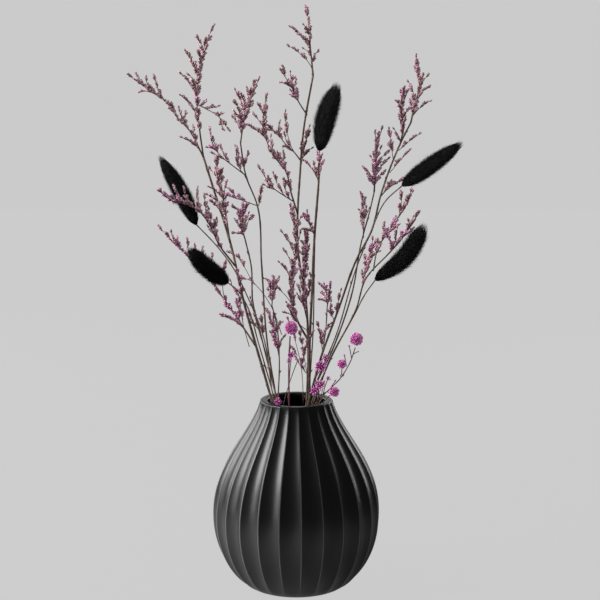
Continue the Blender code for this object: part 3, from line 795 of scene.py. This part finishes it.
def floret_material(settings):
    """Papery florets: maroon at the foot, dusty mauve petals, fresher ones low in the bunch."""
    material, shader, wire = new_material("mauve_florets", {"Specular IOR Level": 0.25})
    place = object_place(wire)
    height = axes_of(wire, place)[2]
    reach = attribute(wire, "reach")
    tone = attribute(wire, "tone")
    drift = noise(wire, place, 28, 2)
    low = 1 - height.between(0.20, 0.40)
    patches = noise(wire, place, 45, 1).between(0.50, 0.62)
    fresh = (low * 0.45 + patches * 0.6 + tone * 0.45).between(0.2, 1.2)
    petal = wire.mix(fresh, opaque(settings.petal), opaque(settings.fresh_petal))
    faded = (tone + drift).between(0.95, 1.35)
    petal = wire.mix(faded * 0.45, petal, (0.36, 0.22, 0.24, 1))
    colour = wire.mix(reach.between(0.25, 0.80) * (0.30 + tone * 0.70),
                      opaque(settings.calyx), petal)
    veins = noise(wire, place, 2200, 2)
    colour = wire.mix(veins.between(0.45, 0.75) * 0.35, colour, opaque(settings.calyx))
    painted(wire, shader, colour, 0.7 + veins * 0.25)
    bumped(wire, shader, veins, 0.15 * MM, 0.7)
    return material


def globe_material(settings):
    """Papery magenta petals, with painted shade deep between them and painted highlight flecks on
    them.
    """
    material, shader, wire = new_material("magenta_petals", {"Specular IOR Level": 0.25})
    place = object_place(wire)
    reach = attribute(wire, "reach")
    tone = attribute(wire, "tone")
    veins = noise(wire, place, 1800, 2)
    # Painted shade: each petal darkens towards its foot, deep among the other petals.
    lit = reach.between(0.10, 0.80) * (0.55 + tone * 0.45)
    colour = wire.mix(lit, opaque(settings.deep), opaque(settings.petal))
    # Painted highlight: pale pink flecks on some petals, by the veins and each petal's tone.
    colour = wire.mix(veins.between(0.55, 0.8) * tone * 0.6, colour, (0.72, 0.26, 0.58, 1))
    painted(wire, shader, colour, 0.6 + veins * 0.3)
    bumped(wire, shader, veins, 0.15 * MM, 0.7)
    return material


# ---------------------------------------------------------------- the vase

class VaseMeasures:
    """The vase's sizes, read from its solid in the frame."""

    def __init__(self):
        corners = [vertex.co for vertex in frame["nodes"]["vase_body"].data.vertices]
        rings = [(math.hypot(spot.x, spot.y), spot.z) for spot in corners]
        self.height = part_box("vase_body")[1].z
        self.belly, self.belly_height = max(rings)
        self.foot = max(radius for radius, height in rings if height < 0.5 * MM)
        crown = [radius for radius, height in rings if height > self.height - 3.5 * MM]
        self.rim = max(crown)
        self.mouth = min(crown)
        self.wall = 5.5 * MM
        self.floor = 7 * MM
        self.lip = 1.6 * MM


VASE = VaseMeasures()
RIDGE_DEGREES = 3.5
RIDGE_TURN = math.radians(RIDGE_DEGREES - 90)
SHOULDER_SLOPE = 0.29
STEPS_PER_FLUTE = 16


def onion(foot, belly, neck, low, top, steps):
    """Half of an onion outline, from the foot's edge up to the neck, as (radius, height)."""
    lean = Vector((SHOULDER_SLOPE, -1)).normalized() * 30 * MM
    foot_edge = Vector((foot, low))
    widest = Vector((belly, VASE.belly_height))
    neck_edge = Vector((neck, top))
    below = VASE.belly_height - low
    lower = bezier(foot_edge, foot_edge + Vector((10 * MM, 0)),
                   widest - Vector((0, below * 0.63)), widest, steps[0])
    upper = bezier(widest, widest + Vector((0, 45 * MM)), neck_edge + lean, neck_edge, steps[1])
    return lower + upper + [neck_edge]


def vase_rows():
    """Rows from the hollow under the foot, up outside, over the lip and down to the floor."""
    top = VASE.height - VASE.lip
    foot_ring = [(VASE.foot - 7 * MM, 1.2 * MM), (VASE.foot - 5 * MM, 0.9 * MM),
                 (VASE.foot - 4.4 * MM, 0.1 * MM), (VASE.foot - 4 * MM, 0)]
    outside = onion(VASE.foot, VASE.belly, VASE.rim, 0, top, (22, 34))
    inside = onion(VASE.foot - VASE.wall, VASE.belly - VASE.wall, VASE.mouth, VASE.floor, top,
                   (10, 16))
    lip = []
    for edge, first_degrees in ((VASE.rim - VASE.lip, 18), (VASE.mouth + VASE.lip, 90)):
        for step in range(5):
            angle = math.radians(first_degrees + 18 * step)
            lip.append((edge + VASE.lip * math.cos(angle), top + VASE.lip * math.sin(angle)))
    sides = [tuple(spot) for spot in outside], [tuple(spot) for spot in inside[::-1]]
    return foot_ring + sides[0] + lip + sides[1]


def flute_share(height, fade):
    """How full the flutes are at a height: whole on the belly, gone at the lip and the foot."""
    from_foot = min(1, max(0, (height - 1 * MM) / (fade * 2.4)))
    from_lip = min(1, max(0, (VASE.height - height) / fade))
    return math.sin(min(from_foot, from_lip) * math.pi / 2)


def make_vase(settings):
    state = {"share": 0.0, "outside": True}
    depth = settings.flute_depth / VASE.belly

    def hollow(step, share):
        from_ridge = step / (STEPS_PER_FLUTE / 2)
        return 1 - depth * share * (1 - (1 - from_ridge) ** 2)

    def flute_row(mesh, height):
        """Draws the new ring's points in, as far as the flutes' share has grown or shrunk."""
        if height > VASE.height - 0.01 * MM:
            state["outside"] = False
        share = flute_share(height, settings.fade_height) if state["outside"] else 0.0
        if share == state["share"]:
            return
        work = bmesh.from_edit_mesh(mesh)
        ring = [vertex for vertex in work.verts if vertex.select]
        columns = {}
        for vertex in ring:
            angle = math.atan2(vertex.co.y, vertex.co.x) - RIDGE_TURN
            column = round(angle / math.tau * settings.flutes * STEPS_PER_FLUTE)
            step = column % STEPS_PER_FLUTE
            columns.setdefault(min(step, STEPS_PER_FLUTE - step), []).append(vertex)
        for step in sorted(columns)[1:]:
            change = hollow(step, share) / hollow(step, state["share"])
            resize_some(mesh, columns[step], ring, change, (0, 0, height))
        state["share"] = share

    rows = [(radius, height, 0) for radius, height in vase_rows()]
    vase = turned("fluted_vase", settings.flutes * STEPS_PER_FLUTE, rows,
                  math.radians(RIDGE_DEGREES), flute_row)
    vase.data.materials.append(glaze_material(settings))
    finish(vase, ["vase_body"])


# ---------------------------------------------------------------- stems

STEM_SHARE = 0.84
JOINT_SWELL = 0.22
JOINT_REACH = 2.5 * MM
FINE_TWIG_RADIUS = 0.36 * MM


def stem_shoot(name, foot_radius, top_radius, route):
    """A stem's path and radii: tapered, swollen at its joints and never quite even."""
    chance = random.Random(name)
    path = smooth_path(in_metres(route), 9)
    run = lengths_along(path)
    joint_gap = chance.uniform(30, 42) * MM
    first_joint = chance.uniform(0.2, 0.8) * joint_gap
    radii = []
    for far in run:
        even = foot_radius + (top_radius - foot_radius) * far / run[-1]
        from_joint = abs((far - first_joint + joint_gap / 2) % joint_gap - joint_gap / 2)
        swell = JOINT_SWELL * max(0, 1 - from_joint / JOINT_REACH)
        radii.append(even * MM * (STEM_SHARE + swell + chance.uniform(-0.05, 0.05)))
    joints = []
    far = first_joint
    while far < run[-1]:
        joints.append((*spot_at(path, run, far), top_radius * MM))
        far += joint_gap
    return path, radii, joints


def make_stem(node, name, sizes, material, scale_leaf, twigs=()):
    """A main stem with small dry scale leaves at its joints, and any fine twigs on it."""
    path, radii, joints = stem_shoot(node, *sizes)
    shoots = [(path, radii)]
    for route in twigs:
        twig = smooth_path(in_metres(route), 5)
        shoots.append((twig, [FINE_TWIG_RADIUS] * len(twig)))
    stem = grown(name, shoots, 2, material)
    places = []
    for k, (spot, along, radius) in enumerate(joints):
        outward = leaning(along, k * GOLDEN_TURN, math.radians(24))
        places.append(aimed(spot + outward * radius * 0.6, outward, k, (1, 0.4, 1)))
    leaves = copied(name + "_scales", scale_leaf, places, [0.5] * len(places), material)
    finish(joined(stem, [leaves]), [node])


def scale_leaf_model():
    """A dry scale leaf, 3.4 mm long: a pointed sheath."""
    rows = [(0.25, 0, 0), (0.62, 0.7, 0), (0.55, 1.7, 0.1), (0.28, 2.7, 0.3), (0.04, 3.4, 0.5)]
    return model_data(turned("scale_leaf", 6, rows))


# ---------------------------------------------------------------- bunny tails

CORE_REACH = 0.93
HAIR_REACH = 0.89
THIN_FROM = 0.86
RAGGED_FROM = 0.6


def tail_radius(shape, share):
    """The radius of a tail's fur at a share of its length."""
    radius, widest, blunt = shape
    if share < widest:
        return radius * (0.26 + 0.74 * math.sin(share / widest * math.pi / 2) ** 0.8)
    rest = min(1, (share - widest) / (1 - widest))
    return radius * math.sqrt(1 - rest ** blunt)


def hair_model():
    """One hair of length and thickness 1, bent a little along X."""
    rows = [(0.5, 0, 0), (0.36, 0.5, 0.45), (0.03, 1, 1.8)]
    return model_data(turned("hair", 3, rows))


def hair_lean(shape, share, root, length, whole, fullness):
    """How far a hair leans out of the tail's line, so that it ends on the tail's outline."""
    lean = math.radians(30)
    for _step in range(3):
        end = tail_radius(shape, share + length * math.cos(lean) / whole) * fullness
        lean = math.asin(min(0.92, max(-0.12, (end - root) / length)))
    return lean


def make_tail(node, shape, route, settings, hair, fur):
    """A tail: a seed core under thousands of hairs that lean towards its tip."""
    chance = random.Random(node)
    path = smooth_path(in_metres(route), 12)
    run = lengths_along(path)
    whole = run[-1]
    core_path = []
    core_radii = []
    for k in range(25):
        share = k / 24 * CORE_REACH
        core_path.append(spot_at(path, run, share * whole)[0])
        core_radii.append(tail_radius(shape, share) * settings.core_share)
    core = grown(node + "_fur", [(core_path, core_radii)], 5, fur)
    places = []
    tones = []
    for k in range(settings.hairs):
        share = (k + 0.5) / settings.hairs * HAIR_REACH
        spot, along = spot_at(path, run, share * whole)
        azimuth = k * GOLDEN_TURN + chance.uniform(-0.4, 0.4)
        out = leaning(along, azimuth, math.pi / 2)
        inner = 1 if share < THIN_FROM else math.sqrt(chance.random())
        root = tail_radius(shape, share) * settings.core_share * 0.92 * inner
        ragged = 0.4 * max(0, share - RAGGED_FROM) / (HAIR_REACH - RAGGED_FROM)
        length = settings.hair_length * chance.uniform(0.72 - ragged, 1.12 + ragged)
        fullness = chance.uniform(0.72, 1.10) + 0.3 * chance.random() ** 9
        lean = hair_lean(shape, share, root, length, whole, fullness * inner)
        lean += math.radians(chance.gauss(0, 3))
        direction = along * math.cos(lean) + out * math.sin(lean)
        side = (along - direction * along.dot(direction)).normalized()
        width = settings.hair_width
        turn = Matrix((side * width, direction.cross(side) * width, direction * length))
        turn = turn.transposed().to_4x4()
        turn.translation = spot + out * root
        places.append(turn)
        tones.append(chance.random())
    hairs = copied(node + "_hairs", hair, places, tones, fur)
    finish(joined(core, [hairs]), [node])


# ---------------------------------------------------------------- statice

SPIKE_SPREAD = 1.5
USUAL_SPIKES = 2
OPEN_SHARE = 0.55
BARE_END = 0.6 * MM


def floret_models():
    """An open floret and a closed bud, each about a millimetre long at size 1."""
    opened = [(0.06, 0, 0), (0.18, 0.16, 0), (0.23, 0.5, 0), (0.22, 0.72, 0.01),
              (0.33, 0.95, 0.02), (0.22, 1.0, 0.02), (0.08, 0.84, 0.01)]
    closed = [(0.06, 0, 0), (0.18, 0.16, 0), (0.25, 0.45, 0), (0.22, 0.76, 0.02),
              (0.06, 1.0, 0.03)]
    return model_data(turned("open_floret", 5, opened)), model_data(turned("bud", 5, closed))


def leave_cost(path, run, i, tip):
    """How far point i is from the place where a side spike would slope away as it should."""
    along = (path[i + 1] - path[i - 1]).normalized()
    ahead = (tip - path[i]).dot(along)
    aside = (tip - path[i] - along * ahead).length
    return abs(ahead - SPIKE_SPREAD * aside) + 0.02 * run[i]


def bent_shoot(start, bend, tip, steps):
    """A path from start to tip that is drawn towards a bend between them."""
    return bezier(start, start.lerp(bend, 0.67), tip.lerp(bend, 0.33), tip, steps) + [tip]


def side_shoot(path, run, tip):
    """The path of a spike that leaves a branch and curves out to its tip."""
    best = min(range(1, len(path) - 1), key=lambda i: leave_cost(path, run, i, tip))
    start = path[best]
    along = (path[best + 1] - path[best - 1]).normalized()
    bend = start + along * (tip - start).length * 0.45
    return bent_shoot(start, bend, tip, 6)


def full_shoots(path, run, count, chance):
    """Further short spikes spaced around a fuller branch."""
    shoots = []
    for k in range(count):
        far = run[-1] * (0.22 + 0.7 * (k + chance.random()) / count)
        spot, along = spot_at(path, run, far)
        lean = math.radians(chance.uniform(24, 46))
        out = leaning(along, k * GOLDEN_TURN + chance.uniform(-0.5, 0.5), lean)
        out = (out + Vector((0, 0, 0.35))).normalized()
        length = chance.uniform(7, 13) * MM
        bend = spot + out * length * 0.5
        tip = spot + (out * 0.8 + along * 0.35).normalized() * length
        shoots.append(bent_shoot(spot, bend, tip, 4))
    return shoots


def upper_side(direction, chance):
    """The azimuth that looks up around a direction, or any one around an upright direction."""
    first, second = across(direction)
    if math.hypot(first.z, second.z) < 0.25:
        return chance.uniform(0, math.tau)
    return math.atan2(second.z, first.z)


def floret_places(path, reach, settings, chance, models):
    """Oval clusters of florets along the outer reach of a spike, mostly on its upper side."""
    run = lengths_along(path)
    whole = run[-1]
    far = whole - min(reach, whole * 0.86)
    upward = upper_side(spot_at(path, run, far)[1], chance)
    size = settings.floret_length / MM
    while far < whole - BARE_END:
        count = chance.randint(5, 9)
        for k in range(count):
            spot, along = spot_at(path, run, min(far, whole))
            left = min(1, max(0, whole - far) / settings.spike_length)
            azimuth = upward + (2 * (k % 2) - 1) * chance.uniform(0.3, 1.6)
            lean = math.radians(chance.uniform(20, 48) * (0.5 + 0.5 * min(1, left * 3)))
            oval = 0.70 + 0.42 * math.sin((k + 0.5) / count * math.pi)
            length = size * oval * chance.uniform(0.85, 1.15) * (0.82 + 0.22 * left)
            kind = 0 if chance.random() < OPEN_SHARE else 1
            turn = chance.uniform(0, math.tau)
            place = aimed(spot, leaning(along, azimuth, lean), turn, (length,) * 3)
            models[kind].append((place, chance.random()))
            far += settings.floret_gap * chance.uniform(0.7, 1.3)
            if far > whole:
                break
        far += settings.cluster_gap * chance.uniform(0.4, 1.5)
    spot, along = spot_at(path, run, whole)
    models[1].append((aimed(spot - along * MM, along, 0, (size * 0.85,) * 3), chance.random()))


def make_spray(node, settings, models, bark, petals):
    """One flowering branch: its twigs as one mesh, with florets set along every spike."""
    foot_radius, route, tips = BRANCHES[node]
    chance = random.Random(node)
    main = smooth_path(in_metres(route), 7)
    run = lengths_along(main)
    thin = settings.twig_radius
    shoots = [(main, [foot_radius * MM * 0.9 * (1 - far / run[-1]) + thin * far / run[-1]
                      for far in run])]
    spikes = [side_shoot(main, run, Vector(tip) * MM) for tip in tips]
    further = FULL_BRANCHES.get(node, USUAL_SPIKES)
    spikes += full_shoots(main, run, further, chance)
    spikes += [smooth_path(in_metres(twig), 5) for twig in FINE_TWIGS.get(node, [])]
    for spike in spikes:
        last = len(spike) - 1
        shoots.append((spike, [thin * (1.5 - 0.6 * k / last) for k in range(last + 1)]))
    twigs = grown(node + "_spray", shoots, 1, bark)
    placed = ([], [])
    for k, (path, _radii) in enumerate(shoots):
        reach = run[-1] * 0.8 if further > 3 and k == 0 else settings.spike_length
        floret_places(path, reach, settings, chance, placed)
    flowers = []
    for kind, spots in enumerate(placed):
        flowers.append(copied(f"{node}_flowers_{kind}", models[kind],
                              [spot[0] for spot in spots], [spot[1] for spot in spots], petals))
    finish(joined(twigs, flowers), [node])


# ---------------------------------------------------------------- globe blooms

def petal_model():
    """A blunt papery petal, its tip bent out a little."""
    rows = [(0.10, 0, 0), (0.22, 0.35, 0), (0.30, 0.7, 0.03), (0.24, 0.92, 0.08),
            (0.08, 1.0, 0.12)]
    return model_data(turned("petal", 6, rows))


def bloom_places(middle, radius, count, spread, chance):
    """Petals all around a bloom, in a golden spiral."""
    places = []
    for k in range(count):
        height = 1 - 2 * (k + 0.5) / count
        wide = math.sqrt(1 - height * height)
        azimuth = k * GOLDEN_TURN
        out = Vector((wide * math.cos(azimuth), wide * math.sin(azimuth), height))
        lift = (out + Vector((0, 0, 0.35))).normalized()
        length = radius / MM * chance.uniform(0.38, 0.60) * chance.uniform(1, spread)
        places.append(aimed(middle + out * radius * 0.58, lift, chance.uniform(0, math.tau),
                            (length, length * 0.5, length)))
    return places


def make_bloom(name, blooms, settings, petal, material, loose=False):
    """The blooms on one stalk: round hearts covered with petals, few and long if loose."""
    chance = random.Random(name)
    hearts = []
    places = []
    for middle, radius in blooms:
        middle = Vector(middle) * MM
        radius = radius * MM
        heart = radius * (0.5 if loose else 0.72)
        rings = [(middle + Vector((0, 0, heart * height)), heart * math.sqrt(1 - height ** 2))
                 for height in np.linspace(-0.98, 0.98, 9)]
        hearts.append(([ring[0] for ring in rings], [ring[1] for ring in rings]))
        count = int(settings.petals * min(1, (radius / (5 * MM)) ** 1.3)) + 14
        if loose:
            places += bloom_places(middle, radius * 0.9, count // 3, 2, chance)
        else:
            places += bloom_places(middle, radius, count, 1, chance)
    bloom = grown(name, hearts, 3, material)
    tones = [chance.random() for _place in places]
    return joined(bloom, [copied(name + "_petals", petal, places, tones, material)])


# ---------------------------------------------------------------- operators

class BTV_OT_vase(bpy.types.Operator):
    """Turn the fluted vase"""
    bl_idname = "bunny_tail_vase.vase"
    bl_label = "Fluted Vase"

    def execute(self, context):
        make_vase(context.scene.btv_vase)
        return {"FINISHED"}


class BTV_OT_grass_stems(bpy.types.Operator):
    """Grow the straw stems of the bunny tails"""
    bl_idname = "bunny_tail_vase.grass_stems"
    bl_label = "Grass Stems"

    def execute(self, context):
        settings = context.scene.btv_tails
        straw = stem_material("dark_straw", settings.straw, (0.20, 0.15, 0.12), 0.5)
        leaf = scale_leaf_model()
        for node, sizes in TAIL_STEMS.items():
            make_stem(node, node + "_straw", sizes, straw, leaf,
                      STRAW_TWIGS.get(node, ()))
        return {"FINISHED"}


class BTV_OT_tails(bpy.types.Operator):
    """Cover the bunny tails with fur"""
    bl_idname = "bunny_tail_vase.tails"
    bl_label = "Bunny Tails"

    def execute(self, context):
        settings = context.scene.btv_tails
        fur = fur_material(settings)
        hair = hair_model()
        for node, (radius, widest, blunt, route) in TAIL_HEADS.items():
            make_tail(node, (radius * MM, widest, blunt), route, settings, hair, fur)
        return {"FINISHED"}


class BTV_OT_statice(bpy.types.Operator):
    """Grow the statice: its stems, branches and florets"""
    bl_idname = "bunny_tail_vase.statice"
    bl_label = "Statice"

    def execute(self, context):
        settings = context.scene.btv_statice
        bark = stem_material("brown_bark", settings.bark, (0.20, 0.135, 0.10), 0.55)
        petals = floret_material(settings)
        leaf = scale_leaf_model()
        for node, sizes in STATICE_STEMS.items():
            make_stem(node, node + "_bark", sizes, bark, leaf)
        models = floret_models()
        for node in BRANCHES:
            make_spray(node, settings, models, bark, petals)
        return {"FINISHED"}


class BTV_OT_globes(bpy.types.Operator):
    """Grow the globe sprigs: stems, blooms and buds"""
    bl_idname = "bunny_tail_vase.globes"
    bl_label = "Globe Blooms"

    def execute(self, context):
        settings = context.scene.btv_globes
        stalk = stem_material("plum_stalk", (0.15, 0.055, 0.075), (0.22, 0.10, 0.13), 0.55)
        material = globe_material(settings)
        leaf = scale_leaf_model()
        petal = petal_model()
        for node, sizes in GLOBE_STEMS.items():
            make_stem(node, node + "_stalk", sizes, stalk, leaf,
                      GLOBE_TWIGS[node])
            buds = make_bloom(node + "_buds", GLOBE_BUDS[node], settings, petal, material, True)
            finish(buds, [])
        for node, bloom in GLOBE_BLOOMS.items():
            piece = make_bloom(node + "_petals", [bloom], settings, petal, material)
            finish(piece, [node])
        return {"FINISHED"}


class BTV_OT_stage(bpy.types.Operator):
    """Set the floor, the soft light and the camera"""
    bl_idname = "bunny_tail_vase.stage"
    bl_label = "Stage"

    def execute(self, context):
        settings = context.scene.btv_stage
        make_floor(settings)
        make_lights(settings)
        make_camera(settings)
        context.scene.view_settings.view_transform = "Standard"
        return {"FINISHED"}


def seen_or_felt(wire, seen, felt):
    """A grey that is one brightness to the eye and another in the light that it gives."""
    looked_at = wire.node("ShaderNodeLightPath")
    return wire.mix(looked_at, felt, grey(seen))


def make_floor(settings):
    """A wide pale floor that takes only a faint shadow, glowing evenly to the eye and giving off
    painted light.
    """
    bpy.ops.object.select_all(action="DESELECT")
    bpy.ops.mesh.primitive_circle_add(vertices=96, radius=80, fill_type="NGON")
    floor = bpy.context.object
    floor.name = "floor"
    bpy.ops.object.mode_set(mode="EDIT")
    bpy.ops.mesh.select_all(action="SELECT")
    bpy.ops.mesh.inset(thickness=0.4)
    bpy.ops.object.mode_set(mode="OBJECT")
    material, shader, wire = new_material("pale_floor", {
        "Base Color": grey(0.02), "Roughness": 1, "Specular IOR Level": 0,
        "Emission Strength": 1})
    place = object_place(wire)
    from_vase = wire.node("ShaderNodeVectorMath", {"operation": "LENGTH"}, {0: place}, 1)
    aside = wire.node("ShaderNodeVectorMath", {"operation": "DISTANCE"},
                      {0: place, 1: (-0.35, 0, 0)}, 1)
    # The light that the floor gives, which the camera doesn't see, is painted: a pool of light around
    # the vase, dark right at its foot as a painted contact shadow, and a bright glowing patch to the
    # vase's left.
    pool = (1 - from_vase.between(0.2, 0.6)) * from_vase.between(0.05, 0.17) * 0.17
    felt = 0.04 + pool + (1 - aside.between(0.1, 0.5)) * 0.7
    wire.feed(shader.inputs["Emission Color"],
              seen_or_felt(wire, settings.backdrop - 0.010, felt))
    floor.data.materials.append(material)


def area_light(name, place, target, size, power):
    data = bpy.data.lights.new(name, "AREA")
    data.shape = "RECTANGLE"
    data.size, data.size_y = size
    data.energy = power
    light = bpy.data.objects.new(name, data)
    light.location = place
    light.rotation_euler = (Vector(target) - Vector(place)).to_track_quat("-Z", "Y").to_euler()
    light.visible_camera = False
    bpy.context.scene.collection.objects.link(light)
    return light


def make_lights(settings):
    """Lights for the glaze on the left and behind, one for the plants alone, and even air."""
    area_light("soft_box", (-1.26, -0.10, 0.95), (0, 0, 0.15), (0.8, 1.0), settings.key_power)
    area_light("low_panel", (-1.25, -0.25, 0.12), (0, 0, 0.08), (0.8, 0.5), 2.8)
    area_light("left_strip", (-1.0, 1.0, 0.35), (0, 0, 0.2), (0.6, 1.0), 7)
    area_light("right_strip", (0.82, 0.92, 0.45), (0, 0, 0.2), (0.6, 1.1), 5)
    area_light("back_panel", (0, 2.5, 0.5), (0, 0, 0.2), (2.4, 1.0), 6)
    fill = area_light("plant_fill", (0.3, -1.4, 1.1), (0, 0, 0.3), (1.2, 1.2), 16)
    plants = bpy.data.collections.new("plants")
    for piece in bpy.context.scene.collection.objects:
        if piece.type == "MESH" and piece.name not in ("fluted_vase", "floor"):
            plants.objects.link(piece)
    fill.light_linking.receiver_collection = plants
    world = bpy.data.worlds.new("even_air")
    world.use_nodes = True
    background = world.node_tree.nodes["Background"]
    wire = Wire(world.node_tree)
    air = seen_or_felt(wire, settings.backdrop, grey(settings.dimness))
    wire.feed(background.inputs["Color"], air)
    background.inputs["Strength"].default_value = 1
    bpy.context.scene.world = world


def make_camera(settings):
    """A long lens that looks a little down, its axis above and beside the vase's belly."""
    data = bpy.data.cameras.new("view")
    data.lens = 108
    data.sensor_width = 36
    camera = bpy.data.objects.new("view", data)
    ahead = Vector((0, math.cos(settings.pitch), -math.sin(settings.pitch)))
    upward = Vector((0, math.sin(settings.pitch), math.cos(settings.pitch)))
    belly = Vector((0.0031, 0, 0.058))
    rise = 0.1832
    camera.location = belly + upward * rise - ahead * settings.distance
    camera.rotation_euler = (math.pi / 2 - settings.pitch, 0, 0)
    bpy.context.scene.collection.objects.link(camera)
    bpy.context.scene.camera = camera


class BTV_PT_panel(bpy.types.Panel):
    bl_label = "Bunny Tail Vase"
    bl_idname = "BTV_PT_panel"
    bl_space_type = "VIEW_3D"
    bl_region_type = "UI"
    bl_category = "Bunny Tail Vase"

    def draw(self, context):
        for settings_name, operators in PANEL_ROWS:
            settings = getattr(context.scene, settings_name)
            box = self.layout.box()
            for name in settings.bl_rna.properties.keys():
                if name not in ("rna_type", "name"):
                    box.prop(settings, name)
            for operator in operators:
                box.operator(operator)


PANEL_ROWS = (
    ("btv_vase", ("bunny_tail_vase.vase",)),
    ("btv_tails", ("bunny_tail_vase.grass_stems", "bunny_tail_vase.tails")),
    ("btv_statice", ("bunny_tail_vase.statice",)),
    ("btv_globes", ("bunny_tail_vase.globes",)),
    ("btv_stage", ("bunny_tail_vase.stage",)),
)
SETTINGS = {
    "btv_vase": VaseSettings,
    "btv_tails": TailSettings,
    "btv_statice": StaticeSettings,
    "btv_globes": GlobeSettings,
    "btv_stage": StageSettings,
}
CLASSES = (BTV_OT_vase, BTV_OT_grass_stems, BTV_OT_tails, BTV_OT_statice, BTV_OT_globes,
           BTV_OT_stage, BTV_PT_panel)


def register():
    for name, group in SETTINGS.items():
        bpy.utils.register_class(group)
        setattr(bpy.types.Scene, name, PointerProperty(type=group))
    for shown in CLASSES:
        bpy.utils.register_class(shown)


def unregister():
    for shown in reversed(CLASSES):
        bpy.utils.unregister_class(shown)
    for name, group in reversed(SETTINGS.items()):
        delattr(bpy.types.Scene, name)
        bpy.utils.unregister_class(group)


def main():
    register()
    bpy.ops.bunny_tail_vase.vase()
    bpy.ops.bunny_tail_vase.grass_stems()
    bpy.ops.bunny_tail_vase.tails()
    bpy.ops.bunny_tail_vase.statice()
    bpy.ops.bunny_tail_vase.globes()
    bpy.ops.bunny_tail_vase.stage()
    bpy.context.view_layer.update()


if __name__ == "__main__":
    main()
